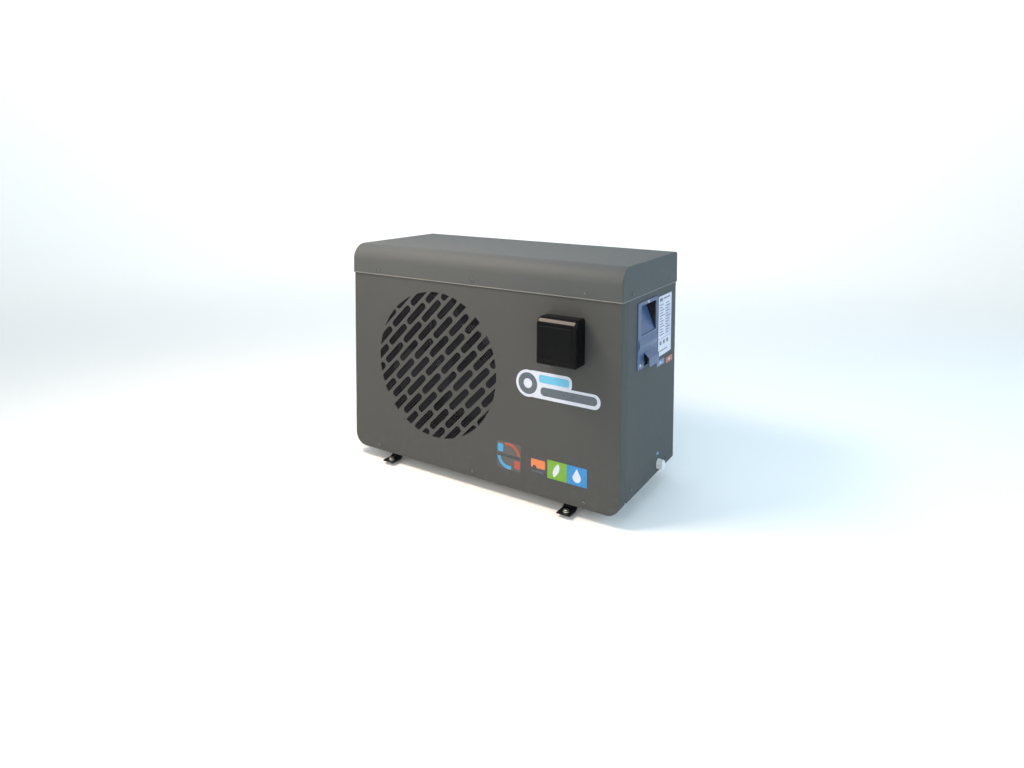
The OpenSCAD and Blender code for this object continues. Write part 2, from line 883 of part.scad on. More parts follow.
module electrical_box() {
    t = [sheet, sheet, sheet];
    color("silver") difference() {
        union() {
            box(box_lo, box_hi);
            for (y = [box_lo[1] + 15, box_hi[1] - 35])
                box([part_x + sheet, y, box_lo[2] + 10], [box_lo[0] + 0.5, y + 20, box_lo[2] + 90]);
        }
        box(box_lo + t, [box_hi[0] - sheet, box_hi[1] - sheet, box_hi[2] + eps]);
        cyl_x([box_hi[0] - 5, -40, box_lo[2] + 30], 10, 10);
    }
}

module electrical_box_lid() {
    color("silver") difference() {
        box([box_lo[0] - 2, box_lo[1] - 2, box_hi[2] - 12],
            [box_hi[0] + 2, box_hi[1] + 2, box_hi[2] + 1.5]);
        box([box_lo[0] - 0.5, box_lo[1] - 0.5, box_hi[2] - 13],
            [box_hi[0] + 0.5, box_hi[1] + 0.5, box_hi[2]]);
    }
}

module circuit_board() {
    z = box_lo[2] + 12;
    color([0.1, 0.35, 0.2]) {
        box([box_lo[0] + 12, box_lo[1] + 12, z], [box_lo[0] + 132, box_hi[1] - 15, z + 1.6]);
        for (x = [18, 126])
            for (y = [18, 150])
                cyl_z([box_lo[0] + x, box_lo[1] + y, box_lo[2] + sheet], 3,
                      z - box_lo[2] - sheet + 0.5);
        for (i = [0:3])
            translate([box_lo[0] + 24 * i, box_lo[1], z]) box([24, 24, 1], [42, 50, 18]);
        box([box_lo[0] + 30, box_lo[1] + 80, z + 1], [box_lo[0] + 80, box_lo[1] + 125, z + 30]);
    }
}

module capacitor() {
    color("lightgray") {
        cyl_z([box_hi[0] - 32, box_hi[1] - 95, box_lo[2] + sheet], 20, 74);
        for (s = [-1, 1])
            cyl_z([box_hi[0] - 32 + s * 7, box_hi[1] - 95, box_lo[2] + sheet + 73], 2.5, 9);
    }
}

module terminal_block() {
    color("ivory") difference() {
        box([box_hi[0] - 50, box_hi[1] - 58, box_lo[2] + sheet],
            [box_hi[0] - 24, box_hi[1] - 10, box_lo[2] + 24]);
        for (i = [0:4])
            translate([box_hi[0], box_hi[1] + 9 * i, box_lo[2]]) box([-51, -55, 14], [-30, -49, 25]);
    }
}

// ---------- water side ----------

module flow_switch() {
    x0 = hx[0] + 80;
    color([0.1, 0.1, 0.1]) {
        cyl_x([x0, hx[1], inlet_z], 12, 10);
        box([x0 + 8, hx[1] - 18, inlet_z - 20], [x0 + 32, hx[1] + 18, inlet_z + 28]);
    }
}

module water_connections() {
    y0 = hx[1] + 83;
    color([0.15, 0.15, 0.16])
        for (z = [inlet_z, outlet_z])
            difference() {
                union() {
                    cyl_y([water_x, y0, z], thread_r, stub_end_y - y0);
                    cyl_y([water_x, rear_y - sheet, z], thread_r + 7, 4);
                }
                cyl_y([water_x, y0 - eps, z], 25, 100);
            }
}

module union_seals() {
    color([0.05, 0.05, 0.05])
        for (z = [inlet_z, outlet_z])
            ring_y([water_x, stub_end_y, z], 32, 26, seal_t);
}

module union_tails() {
    color([0.3, 0.3, 0.31])
        for (z = [inlet_z, outlet_z])
            difference() {
                union() {
                    cyl_y([water_x, tail_y0, z], thread_r, tail_flange_t);
                    cyl_y([water_x, tail_y0, z], tail_r, tail_end_y - tail_y0);
                }
                cyl_y([water_x, tail_y0 - eps, z], 22, 30);
                cyl_y([water_x, tail_end_y - socket_l, z], socket_r, socket_l + eps);
            }
}

// Union nut: a barrel with grip lugs, free to turn on its thread
module union_nut(z) {
    color([0.15, 0.15, 0.16]) difference() {
        union() {
            cyl_y([water_x, nut_y0, z], nut_r - 4, nut_y1 - nut_y0);
            translate([water_x, nut_y0 + 2, z])
                for (a = [0:45:315])
                    rotate([0, a, 0]) box([nut_r - 8, 0, -6], [nut_r, nut_y1 - nut_y0 - 6, 6]);
        }
        cyl_y([water_x, nut_y0 - eps, z], thread_r + thread_gap,
              tail_y0 + tail_flange_t + 0.3 - nut_y0 + eps);
        cyl_y([water_x, nut_y0, z], tail_r + thread_gap, 80);
    }
}

module inlet_union_nut() {
    union_nut(inlet_z);
}

module outlet_union_nut() {
    union_nut(outlet_z);
}

module drain_nipple() {
    x0 = hx[0] + 85;
    color([0.85, 0.85, 0.83]) difference() {
        union() {
            cyl_x([x0, drain_y, drain_z], drain_r, drain_x1 - x0);
            cyl_x([side_x, drain_y, drain_z], drain_r + 5, 2);
        }
        cyl_x([x0 + 10, drain_y, drain_z], 5, 80);
    }
}

// Screw cap on the drain nipple
module drain_cap() {
    color([0.93, 0.93, 0.9]) difference() {
        union() {
            cyl_x([side_x + 2.4, drain_y, drain_z], 12, 14);
            cyl_x([side_x + 16, drain_y, drain_z], 8, 2.4);
            for (a = [0:30:330])
                translate([side_x + 4, drain_y, drain_z])
                    rotate([a, 0, 0]) box([0, -1.2, 11], [11, 1.2, 13]);
        }
        cyl_x([side_x + 2, drain_y, drain_z], drain_r + thread_gap, 11.3);
    }
}

module condensate_spout() {
    color([0.85, 0.85, 0.83]) difference() {
        union() {
            cyl_z([-100, 60, pan_z - 3], 16, 3);
            cyl_z([-100, 60, 8], 9.5, pan_z - 8);
        }
        cyl_z([-100, 60, 7], 7, pan_z);
    }
}

// ---------- controller ----------

module controller_base() {
    color([0.08, 0.08, 0.09]) difference() {
        union() {
            along_y(front_y - 5.5, 5.5)
                round_rect([lid_x0 + 4, lid_z0 + 4], [lid_x0 + lid_w - 4, base_top_z], 6);
            along_y(console_y, front_y - console_y - 5)
                round_rect([ctrl_x - console_w / 2, console_z0],
                           [ctrl_x + console_w / 2, console_z1], 5);
            for (s = [-1, 1])
                translate([ctrl_x + s * 30 - 5, 0, 0]) {
                    box([0, hinge_y - 3, base_top_z - 8], [10, front_y - 4, base_top_z]);
                    box([0, hinge_y - 3, base_top_z - 8], [10, hinge_y + 2.5, hinge_z]);
                    cyl_x([0, hinge_y, hinge_z], 3, 10);
                }
        }
        cyl_x([ctrl_x - 50, hinge_y, hinge_z], hinge_pin_r, 100);
        box([ctrl_x - 36, console_y - eps, ctrl_z - 6], [ctrl_x + 36, console_y + 2, ctrl_z + 34]);
        for (i = [0:3])
            cyl_y([button_x(i), console_y - eps, button_z], button_r + 0.3, 9 + eps);
    }
}

function button_x(i) = ctrl_x + (i - 1.5) * button_pitch;

// Flap's side outline (Y, Z) with the slanted upper front edge, set in by a distance
module lid_outline(inset) {
    y0 = lid_front_y + inset;
    z1 = lid_z1 - inset;
    polygon([
        [lid_back_y + (inset > 0 ? eps : 0), lid_z0 + inset], [y0, lid_z0 + inset],
        [y0, z1 - lid_chamfer_z], [y0 + lid_chamfer_y, z1],
        [lid_back_y + (inset > 0 ? eps : 0), z1]
    ]);
}

module lid_block(inset) {
    intersection() {
        along_x(lid_x0 + inset, lid_w - 2 * inset) lid_outline(inset);
        along_y(lid_front_y - eps, lid_out + 2 * eps)
            round_rect([lid_x0 + inset, lid_z0 + inset],
                       [lid_x0 + lid_w - inset, lid_z1 - inset], lid_edge_r - inset);
    }
}

// Flap hinged at its upper rear edge
module controller_lid() {
    color([0.04, 0.04, 0.05]) difference() {
        union() {
            difference() {
                lid_block(0);
                lid_block(lid_wall);
            }
            for (s = [-1, 1])
                translate([ctrl_x + s * 46, hinge_y, 0])
                    box([-ear_w / 2, -4, hinge_z - 4], [ear_w / 2, 3.5, lid_z1 - 1]);
        }
        cyl_x([ctrl_x - 52, hinge_y, hinge_z], hinge_pin_r + 0.05, 104);
    }
}

module controller_hinge_pin() {
    color("silver") cyl_x([ctrl_x - hinge_span / 2, hinge_y, hinge_z], hinge_pin_r, hinge_span);
}

module controller_display() {
    color([0.2, 0.35, 0.3]) {
        box([ctrl_x - 36, console_y + 0.4, ctrl_z - 6], [ctrl_x + 36, console_y + 2, ctrl_z + 34]);
    }
}

// Round push button with a dished top
module push_button(i) {
    len = 7.2;
    color([0.75, 0.77, 0.78]) difference() {
        cyl_y([button_x(i), console_y - 1.8, button_z], button_r, len);
        cyl_y([button_x(i), console_y - 1.8 - eps, button_z], button_r - 2, eps + 0.4);
    }
}

module button_power() {
    push_button(0);
}

module button_mode() {
    push_button(1);
}

module button_up() {
    push_button(2);
}

module button_down() {
    push_button(3);
}

// ---------- mouldings in the end panels ----------

// Wedge-shaped finger pocket (X, Z), opening towards +X, set out by a wall
module pocket_outline(grow) {
    polygon([
        [side_x + (grow > 0 ? 0 : rim_out + eps), scoop_z1 + grow],
        [side_x - scoop_depth - grow, scoop_z1 + grow],
        [side_x - scoop_depth - grow, scoop_z1 - 4 - grow],
        [side_x, scoop_z0 - grow],
        [side_x + (grow > 0 ? 0 : rim_out + eps), scoop_z0 - grow]
    ]);
}

// Rim plate with its finger pocket
module pocket_block(z0) {
    box([side_x, moulding_y0, z0], [side_x + rim_out, moulding_y1, moulding_z1]);
    along_y(scoop_y0 - wall, scoop_y1 - scoop_y0 + 2 * wall) pocket_outline(wall);
}

module pocket_hollow() {
    along_y(scoop_y0, scoop_y1 - scoop_y0) pocket_outline(0);
}

// Hood (X, Z) that shields the cable entry
module hood_outline(inset) {
    polygon([
        [side_x + (inset > 0 ? -10 : 1), hood_z - (inset > 0 ? eps : 0)],
        [side_x + rim_out + hood_out - inset, hood_z - (inset > 0 ? eps : 0)],
        [side_x + rim_out + hood_out - inset, hood_z + hood_h - hood_out - inset],
        [side_x + rim_out - inset, hood_z + hood_h - inset],
        [side_x + (inset > 0 ? -10 : 1), hood_z + hood_h - inset]
    ]);
}

module cable_cover() {
    color(moulding_blue) difference() {
        union() {
            pocket_block(moulding_z0);
            along_y(hood_y0, hood_y1 - hood_y0) hood_outline(0);
            along_y(moulding_y0 + 8, moulding_y1 - moulding_y0 - 16) polygon([
                [side_x + 1, ridge_z - 12], [side_x + rim_out, ridge_z - 12],
                [side_x + rim_out + 3.5, ridge_z], [side_x + rim_out, ridge_z + 20],
                [side_x + 1, ridge_z + 20]
            ]);
        }
        pocket_hollow();
        along_y(hood_y0 - eps, hood_y1 - hood_y0 - wall + eps) hood_outline(wall);
        moulding_places() screw_hole();
    }
}

// Cable gland under the hood
module cable_gland() {
    y = (hood_y0 + hood_y1) / 2 - 4;
    z = hood_z + 14;
    color([0.1, 0.1, 0.1]) difference() {
        union() {
            box([side_x - 4, hood_y0 - 4, hood_z + 2],
                [side_x - 1.5, hood_y1 + 4, hood_z + hood_h + 3]);
            cyl_x([side_x - 14, y, z], 8, 20);
            translate([side_x - 1.5, y, z]) rotate([0, 90, 0]) cylinder(r = 11, h = 6, $fn = 6);
        }
        cyl_x([side_x - 15, y, z], 5.5, 40);
    }
}

module left_grip() {
    color(moulding_blue) mirror([1, 0, 0]) difference() {
        pocket_block(scoop_z0 - 16);
        pocket_hollow();
    }
}

// ---------- labels ----------

module rating_label() {
    color([0.86, 0.88, 0.95]) along_x(side_x, label_t) round_rect([54.5, 380], [153.5, 547], 2);
}

module side_labels() {
    color([0.3, 0.45, 0.65]) {
        along_x(side_x, label_t) round_rect([48, 353], [102, 369], 2);
        along_x(side_x, label_t) round_rect([117, 348], [166, 364], 2);
        along_x(side_x, label_t) round_rect([54, 104], [72, 112], 1);
    }
}

// Stickers on the front: a wide emblem, a round mark and three square tiles
module front_badges() {
    color([0.75, 0.88, 0.95]) {
        along_y(front_y - label_t, label_t) round_rect([143, 292], [395, 366], 30);
        along_y(front_y - label_t, label_t) round_rect([83, 80], [160, 155], 6);
        for (i = [0:2])
            along_y(front_y - label_t, label_t) rect([184.5 + 58 * i, 87], [242 + 58 * i, 136]);
    }
}

top_cover();
front_panel();
right_side_panel();
left_side_panel();
rear_panel();
base_pan();
coil_guard();
partition_plate();
foot_rails();
foot_screws();
case_screws();
grille_mesh();
fan_shroud();
fan_rotor();
fan_shaft();
fan_motor();
motor_bracket();
coil_fins();
coil_bends();
coil_end_plates();
compressor();
compressor_mounts();
accumulator();
heat_exchanger();
exchanger_bracket();
four_way_valve();
expansion_valve();
filter_drier();
discharge_pipe();
suction_pipe();
gas_pipes();
liquid_pipes();
electrical_box();
electrical_box_lid();
circuit_board();
capacitor();
terminal_block();
flow_switch();
water_connections();
union_seals();
union_tails();
inlet_union_nut();
outlet_union_nut();
drain_nipple();
drain_cap();
condensate_spout();
controller_base();
controller_lid();
controller_hinge_pin();
controller_display();
button_power();
button_mode();
button_up();
button_down();
cable_cover();
cable_gland();
left_grip();
rating_label();
side_labels();
front_badges();
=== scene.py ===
"""Looks of the pool heat pump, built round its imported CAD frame. Lengths are in metres."""

import json
import math

import bmesh
import bpy
from mathutils import Matrix, Vector


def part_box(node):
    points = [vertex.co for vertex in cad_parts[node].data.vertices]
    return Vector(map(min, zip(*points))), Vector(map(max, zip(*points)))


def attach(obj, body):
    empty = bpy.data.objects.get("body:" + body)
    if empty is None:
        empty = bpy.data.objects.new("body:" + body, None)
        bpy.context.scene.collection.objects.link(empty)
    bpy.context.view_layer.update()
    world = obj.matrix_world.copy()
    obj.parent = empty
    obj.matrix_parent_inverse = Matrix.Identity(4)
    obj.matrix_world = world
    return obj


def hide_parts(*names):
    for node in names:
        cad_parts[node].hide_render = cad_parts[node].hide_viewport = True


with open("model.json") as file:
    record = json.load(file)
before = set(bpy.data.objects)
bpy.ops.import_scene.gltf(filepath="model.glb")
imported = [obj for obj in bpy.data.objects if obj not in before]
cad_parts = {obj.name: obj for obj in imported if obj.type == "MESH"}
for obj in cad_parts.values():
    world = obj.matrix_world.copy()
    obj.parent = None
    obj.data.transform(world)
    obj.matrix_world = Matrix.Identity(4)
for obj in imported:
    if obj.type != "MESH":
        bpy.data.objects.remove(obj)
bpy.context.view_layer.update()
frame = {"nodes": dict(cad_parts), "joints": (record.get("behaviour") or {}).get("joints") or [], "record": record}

MM = 0.001
JOINTS = {j["name"]: j for j in frame["joints"]}
MOUNTS = {m["name"]: m for m in frame["record"]["mounts"]}


# ---------- places read from the frame ----------

FRONT_LOW, FRONT_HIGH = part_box("front_panel")
COVER_LOW, COVER_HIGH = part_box("top_cover")
REAR_LOW, REAR_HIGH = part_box("rear_panel")
GRILLE_LOW, GRILLE_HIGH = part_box("grille_mesh")
LID_LOW, LID_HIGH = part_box("controller_lid")
GRIP_LOW, GRIP_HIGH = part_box("cable_cover")
FAN = Vector(JOINTS["fan_spin"]["pos_m"])
HINGE = Vector(JOINTS["lid_flip"]["pos_m"])
DRAIN = Vector(JOINTS["drain_cap_turn"]["pos_m"])
SIDE_X = FRONT_HIGH.x
FRONT_Y = FRONT_LOW.y
SHEET = REAR_HIGH.y - REAR_LOW.y
GRILLE_R = (GRILLE_HIGH.x - GRILLE_LOW.x) / 2 - 3 * MM


def islands(node):
    """Lowest and highest corners of each separate solid of a CAD node, sorted from low X."""
    bm = bmesh.new()
    bm.from_mesh(frame["nodes"][node].data)
    bmesh.ops.remove_doubles(bm, verts=bm.verts, dist=1e-6)
    seen, boxes = set(), []
    for start in bm.verts:
        if start in seen:
            continue
        seen.add(start)
        group = [start]
        for v in group:
            for e in v.link_edges:
                other = e.other_vert(v)
                if other not in seen:
                    seen.add(other)
                    group.append(other)
        corners = [tuple(pick(v.co[i] for v in group) for i in range(3)) for pick in (min, max)]
        boxes.append(tuple(Vector(c) for c in corners))
    bm.free()
    return sorted(boxes, key=lambda box: tuple(box[0]))


# ---------- colours and node helpers ----------

def srgb(r, g, b):
    """Linear colour of an sRGB triple from 0 to 255."""
    def linear(c):
        c /= 255
        return c / 12.92 if c <= 0.04045 else ((c + 0.055) / 1.055) ** 2.4
    return (linear(r), linear(g), linear(b), 1.0)


def scaled(colour, k):
    return tuple(min(c * k, 1.0) for c in colour[:3]) + (1.0,)


class Finish:
    """A Principled material with object-space procedural detail."""

    def __init__(self, name, colour, roughness, **sockets):
        self.mat = bpy.data.materials.new(name)
        self.mat.use_nodes = True
        self.nodes = self.mat.node_tree.nodes
        self.bsdf = self.nodes["Principled BSDF"]
        self.coords = self.nodes.new("ShaderNodeTexCoord").outputs["Object"]
        self.relief = None
        self.feed(self.bsdf, Base_Color=colour, Roughness=roughness, **sockets)

    def join(self, value, socket):
        """Sets a socket, or links it when the value is a socket too."""
        if isinstance(value, bpy.types.NodeSocket):
            self.mat.node_tree.links.new(value, socket)
        else:
            socket.default_value = value

    def feed(self, node, **values):
        """Joins values to a node's inputs; an underscore in a name stands for a space."""
        for key, value in values.items():
            self.join(value, node.inputs[key.replace("_", " ")])

    def node(self, kind, **values):
        node = self.nodes.new("ShaderNode" + kind)
        self.feed(node, **values)
        return node

    def mapped(self, stretch):
        """Object coordinates, scaled along X, Y and Z when there is a stretch."""
        if stretch is None:
            return self.coords
        return self.node("Mapping", Vector=self.coords, Scale=stretch).outputs["Vector"]

    def noise(self, scale, detail, roughness=0.55, stretch=None):
        node = self.node("TexNoise", Vector=self.mapped(stretch), Scale=scale, Detail=detail,
                         Roughness=roughness)
        return node.outputs["Fac"]

    def cells(self, scale, output="Distance", feature="F1"):
        node = self.node("TexVoronoi", Vector=self.coords, Scale=scale)
        node.feature = feature
        return node.outputs[output]

    def wave(self, scale, stretch):
        return self.node("TexWave", Vector=self.mapped(stretch), Scale=scale).outputs["Fac"]

    def axis(self, name):
        return self.node("SeparateXYZ", Vector=self.coords).outputs[name]

    def spread(self, value, low_in, high_in, low_out, high_out):
        """Value stretched from one range to another, and clamped."""
        node = self.node("MapRange", Value=value, From_Min=low_in, From_Max=high_in, To_Min=low_out,
                         To_Max=high_out)
        return node.outputs["Result"]

    def times(self, a, b):
        node = self.node("Math")
        node.operation = "MULTIPLY"
        self.join(a, node.inputs[0])
        self.join(b, node.inputs[1])
        return node.outputs[0]

    def mix(self, factor, a, b):
        """Colour a, turning to colour b as factor goes from 0 to 1."""
        node = self.node("Mix", Factor=factor)
        node.data_type = "RGBA"
        for value, socket in zip((a, b), [s for s in node.inputs if s.type == "RGBA"]):
            self.join(value, socket)
        return next(s for s in node.outputs if s.type == "RGBA")

    def edges(self, radius):
        """1 along convex edges and 0 on flat faces."""
        bevel = self.node("Bevel", Radius=radius)
        bevel.samples = 6
        dot = self.node("VectorMath")
        dot.operation = "DOT_PRODUCT"
        self.join(bevel.outputs["Normal"], dot.inputs[0])
        self.join(self.node("NewGeometry").outputs["Normal"], dot.inputs[1])
        return self.spread(dot.outputs["Value"], 0.98, 0.8, 0.0, 1.0)

    def colour(self, socket):
        self.feed(self.bsdf, Base_Color=socket)

    def blend(self, factor, a, b):
        """Base colour between a and b."""
        self.colour(self.mix(factor, a, b))

    def rough(self, socket):
        self.feed(self.bsdf, Roughness=socket)

    def bump(self, height, depth, strength):
        """Adds a layer of relief, depth millimetres high."""
        node = self.node("Bump", Height=height, Distance=depth * MM, Strength=strength)
        if self.relief is not None:
            self.feed(node, Normal=self.relief)
        self.relief = node.outputs["Normal"]
        self.feed(self.bsdf, Normal=self.relief)

    def patches(self, scale, detail, low, high, top=1.0, roughness=0.55):
        """0 to top as a noise goes from low to high."""
        return self.spread(self.noise(scale, detail, roughness), low, high, 0.0, top)

    def uneven(self, scale, detail, low, high):
        """Roughness that wanders between low and high."""
        self.rough(self.spread(self.noise(scale, detail), 0.3, 0.7, low, high))

    def grain(self, scale, detail, depth, strength):
        """Relief of noise, depth millimetres high."""
        self.bump(self.noise(scale, detail), depth, strength)


# ---------- materials ----------

def powder_coat(name, colour, roughness=0.64, metallic=0.06, dust=0.14):
    """Satin powder coat: orange peel, fine fleck, faint clouding, dust low down, rubbed edges."""
    f = Finish(name, colour, roughness, Metallic=metallic, Specular_IOR_Level=0.2)
    body = f.mix(f.patches(2.6, 4, 0.3, 0.7), scaled(colour, 0.98), scaled(colour, 1.02))
    body = f.mix(f.patches(2600, 1, 0.54, 0.74, 0.3), body, scaled(colour, 1.35))
    low = f.spread(f.axis("Z"), 0.02, 0.2, dust, 0.0)
    patch = f.patches(46, 6, 0.5, 0.85, 1.0, 0.65)
    body = f.mix(f.times(low, patch), body, srgb(132, 126, 114))
    f.blend(f.times(f.edges(0.7 * MM), 0.3), body, scaled(colour, 1.8))
    f.uneven(70, 4, roughness - 0.02, roughness + 0.03)
    f.grain(850, 2, 0.04, 0.5)
    f.grain(1.8, 1, 0.8, 0.1)
    return f.mat


def moulded_plastic(name, colour, roughness=0.5, grain=1500, depth=0.05, wear=0.25, coat=0.0):
    """Injection-moulded plastic: spark-eroded grain, faint flow clouding and rubbed edges."""
    f = Finish(name, colour, roughness, Coat_Weight=coat, Coat_Roughness=0.2)
    body = f.mix(f.patches(14, 4, 0.3, 0.7), scaled(colour, 0.9), scaled(colour, 1.1))
    f.blend(f.times(f.edges(0.6 * MM), wear), body, scaled(colour, 2.2))
    f.uneven(90, 4, roughness - 0.07, roughness + 0.08)
    f.grain(grain, 2, depth, 0.6)
    return f.mat


def gloss_plastic(name, colour):
    """Polished black plastic with hairline scuffs and a trace of dust."""
    f = Finish(name, colour, 0.2, Specular_IOR_Level=0.1)
    dust = f.patches(220, 5, 0.62, 0.85, 0.05, 0.7)
    f.blend(dust, colour, srgb(84, 82, 80))
    scuff = f.noise(60, 5, 0.6, stretch=(14, 14, 1.5))
    f.rough(f.spread(scuff, 0.35, 0.75, 0.13, 0.22))
    f.grain(7, 2, 0.2, 0.25)
    f.grain(700, 2, 0.006, 0.5)
    return f.mat


def sheet_metal(name, colour, roughness=0.36, spangle=True):
    """Galvanised sheet with spangle, or plain rolled metal."""
    f = Finish(name, colour, roughness, Metallic=1.0)
    if spangle:
        tone = f.node("SeparateColor", Color=f.cells(95, "Color")).outputs["Red"]
    else:
        tone = f.noise(40, 4, stretch=(1, 1, 18))
    f.blend(f.spread(tone, 0.0, 1.0, 0.0, 1.0), scaled(colour, 0.8), scaled(colour, 1.12))
    f.rough(f.spread(tone, 0.0, 1.0, roughness - 0.08, roughness + 0.12))
    f.grain(500, 3, 0.02, 0.4)
    return f.mat


def zinc_plate(name, colour):
    """Zinc-plated steel: a faint yellow tint in patches and darker pores."""
    f = Finish(name, colour, 0.28, Metallic=1.0)
    tint = f.patches(160, 4, 0.35, 0.65)
    yellow = (colour[0] * 1.06, colour[1] * 1.04, colour[2] * 0.94, 1.0)
    body = f.mix(tint, scaled(colour, 0.86), yellow)
    pores = f.patches(900, 4, 0.6, 0.75, 0.35, 0.7)
    f.blend(pores, body, scaled(colour, 0.45))
    f.uneven(420, 3, 0.2, 0.4)
    f.grain(1300, 2, 0.012, 0.6)
    return f.mat


def copper_tube(name):
    """Drawn copper with brown tarnish in patches."""
    f = Finish(name, srgb(196, 122, 88), 0.3, Metallic=1.0)
    patch = f.patches(60, 5, 0.42, 0.68, 0.85, 0.6)
    f.blend(patch, srgb(200, 126, 92), srgb(122, 72, 50))
    f.uneven(140, 4, 0.24, 0.48)
    f.grain(800, 2, 0.015, 0.5)
    return f.mat


def cast_brass(name):
    """Forged brass with a fine sandy skin."""
    f = Finish(name, srgb(176, 146, 84), 0.34, Metallic=1.0)
    patch = f.patches(110, 4, 0.4, 0.7, 0.7)
    f.blend(patch, srgb(184, 152, 88), srgb(120, 96, 54))
    f.uneven(300, 3, 0.28, 0.5)
    f.grain(1400, 3, 0.04, 0.6)
    return f.mat


def black_rubber(name):
    """Dull black rubber with bloom."""
    f = Finish(name, srgb(26, 26, 27), 0.72)
    bloom = f.patches(120, 5, 0.45, 0.8, 0.5, 0.65)
    f.blend(bloom, srgb(24, 24, 25), srgb(62, 61, 59))
    f.uneven(200, 3, 0.62, 0.82)
    f.grain(1200, 3, 0.05, 0.6)
    return f.mat


def fin_metal(name):
    """Dark blue coated aluminium fins with a faint ripple."""
    f = Finish(name, srgb(58, 70, 86), 0.45, Metallic=0.6)
    tone = f.noise(30, 4, stretch=(12, 1, 1))
    f.blend(f.spread(tone, 0.3, 0.7, 0, 1), srgb(48, 60, 76), srgb(72, 84, 100))
    f.uneven(260, 3, 0.32, 0.52)
    f.bump(f.wave(90, (0, 0, 1)), 0.1, 0.4)
    return f.mat


def circuit_resin(name):
    """Green solder mask with traces."""
    f = Finish(name, srgb(20, 78, 44), 0.35, Coat_Weight=0.3)
    trace = f.spread(f.cells(160, feature="DISTANCE_TO_EDGE"), 0.02, 0.05, 1.0, 0.0)
    f.blend(trace, srgb(18, 72, 40), srgb(44, 120, 66))
    f.uneven(300, 3, 0.28, 0.42)
    f.bump(trace, 0.05, 0.5)
    return f.mat


def label_film(name, colour, gloss=0.3):
    """Laminated label film: faint mottle and a slightly wavy gloss."""
    f = Finish(name, colour, gloss, Coat_Weight=0.4, Coat_Roughness=0.15)
    f.blend(f.patches(130, 4, 0.3, 0.7), scaled(colour, 0.94), scaled(colour, 1.03))
    f.uneven(240, 3, gloss - 0.05, gloss + 0.1)
    f.grain(420, 2, 0.02, 0.3)
    return f.mat


def display_glass(name):
    """Grey-green LCD window under a glossy cover."""
    f = Finish(name, srgb(104, 122, 98), 0.14, Coat_Weight=0.6, Coat_Roughness=0.05)
    f.blend(f.patches(900, 2, 0.3, 0.7), srgb(98, 116, 92), srgb(110, 128, 104))
    f.uneven(90, 3, 0.08, 0.18)
    return f.mat


FINISHES = {
    # case, cover and end panels share one powder coat; the cover's lighter tone is painted light, standing in for
    # the brighter light the top catches
    "case_grey": powder_coat("paint_case", srgb(76, 76, 74)),
    "cover_grey": powder_coat("paint_cover_painted_light", srgb(82, 84, 83)),
    "rail_black": powder_coat("paint_rail", srgb(22, 22, 23), 0.34, 0.0, 0.35),
    "zinc": zinc_plate("zinc", srgb(206, 206, 202)),
    "galvanised": sheet_metal("galvanised", srgb(172, 176, 178)),
    "mesh_black": powder_coat("paint_mesh", srgb(35, 35, 39), 0.6, 0.0, 0.0),
    "guard_grey": moulded_plastic("guard_dip", srgb(52, 53, 55), 0.45),
    "shroud_plastic": moulded_plastic("shroud_plastic", srgb(14, 15, 17), 0.6),
    "fan_plastic": moulded_plastic("fan_plastic", srgb(20, 24, 32), 0.5, 1100),
    "shaft_steel": sheet_metal("shaft_steel", srgb(92, 92, 91), 0.38, False),
    "motor_paint": powder_coat("paint_motor", srgb(92, 94, 98), 0.4, 0.2, 0.0),
    "fin_aluminium": fin_metal("fin_aluminium"),
    "copper_tube": copper_tube("copper"),
    "compressor_black": powder_coat("paint_compressor", srgb(18, 18, 19), 0.25, 0.0, 0.0),
    "rubber_black": black_rubber("rubber"),
    "tank_white": moulded_plastic("tank_plastic", srgb(204, 203, 196), 0.45),
    "valve_brass": cast_brass("brass"),
    "board_green": circuit_resin("board"),
    "capacitor_grey": sheet_metal("capacitor_can", srgb(188, 190, 192), 0.3, False),
    "terminal_cream": moulded_plastic("terminal_plastic", srgb(214, 206, 180), 0.5),
    "union_black": moulded_plastic("union_plastic", srgb(30, 31, 33), 0.42),
    "pvc_grey": moulded_plastic("pvc_grey", srgb(88, 90, 94), 0.45),
    "white_plastic": moulded_plastic("white_plastic", srgb(232, 232, 228), 0.34, 900, 0.02, 0.0, 0.3),
    "gloss_black": gloss_plastic("gloss_black", srgb(12, 12, 13)),
    "console_black": moulded_plastic("console_plastic", srgb(34, 34, 36), 0.48),
    "display_glass": display_glass("display_glass"),
    "button_grey": moulded_plastic("button_plastic", srgb(176, 180, 184), 0.5, 1300, 0.03, 0.1),
    "moulding_blue": moulded_plastic("moulding_plastic", srgb(64, 84, 118), 0.34, 1300, 0.04, 0.3, 0.1),
    "label_white": label_film("label_white", srgb(196, 196, 206)),
    "label_colour": label_film("label_blue", srgb(56, 98, 140)),
    "badge_film": label_film("badge_white", srgb(200, 205, 216)),
}
INK = label_film("ink_dark", srgb(70, 76, 92))
LCD_INK = label_film("lcd_ink", srgb(20, 24, 22), 0.5)
FILMS = {tone: label_film("film_" + tone, srgb(*rgb), gloss) for tone, rgb, gloss in (
    ("grey", (74, 84, 94), 0.3), ("sky", (92, 176, 208), 0.3), ("pale", (172, 180, 196), 0.3),
    ("clear", (76, 74, 71), 0.45), ("blue", (48, 146, 194), 0.3), ("red", (168, 60, 30), 0.3),
    ("orange", (216, 118, 60), 0.3), ("green", (104, 158, 16), 0.3), ("cyan", (8, 126, 190), 0.3),
    ("dark", (50, 52, 54), 0.3))}
FILMS["white"] = FINISHES["badge_film"]
SCREW_DARK = zinc_plate("screw_dark", srgb(112, 114, 118))
# lighter paint for the cover's hem: a painted highlight along the cover's lower edge
HEM_PAINTED_HIGHLIGHT = powder_coat("hem_painted_highlight", srgb(128, 125, 118))
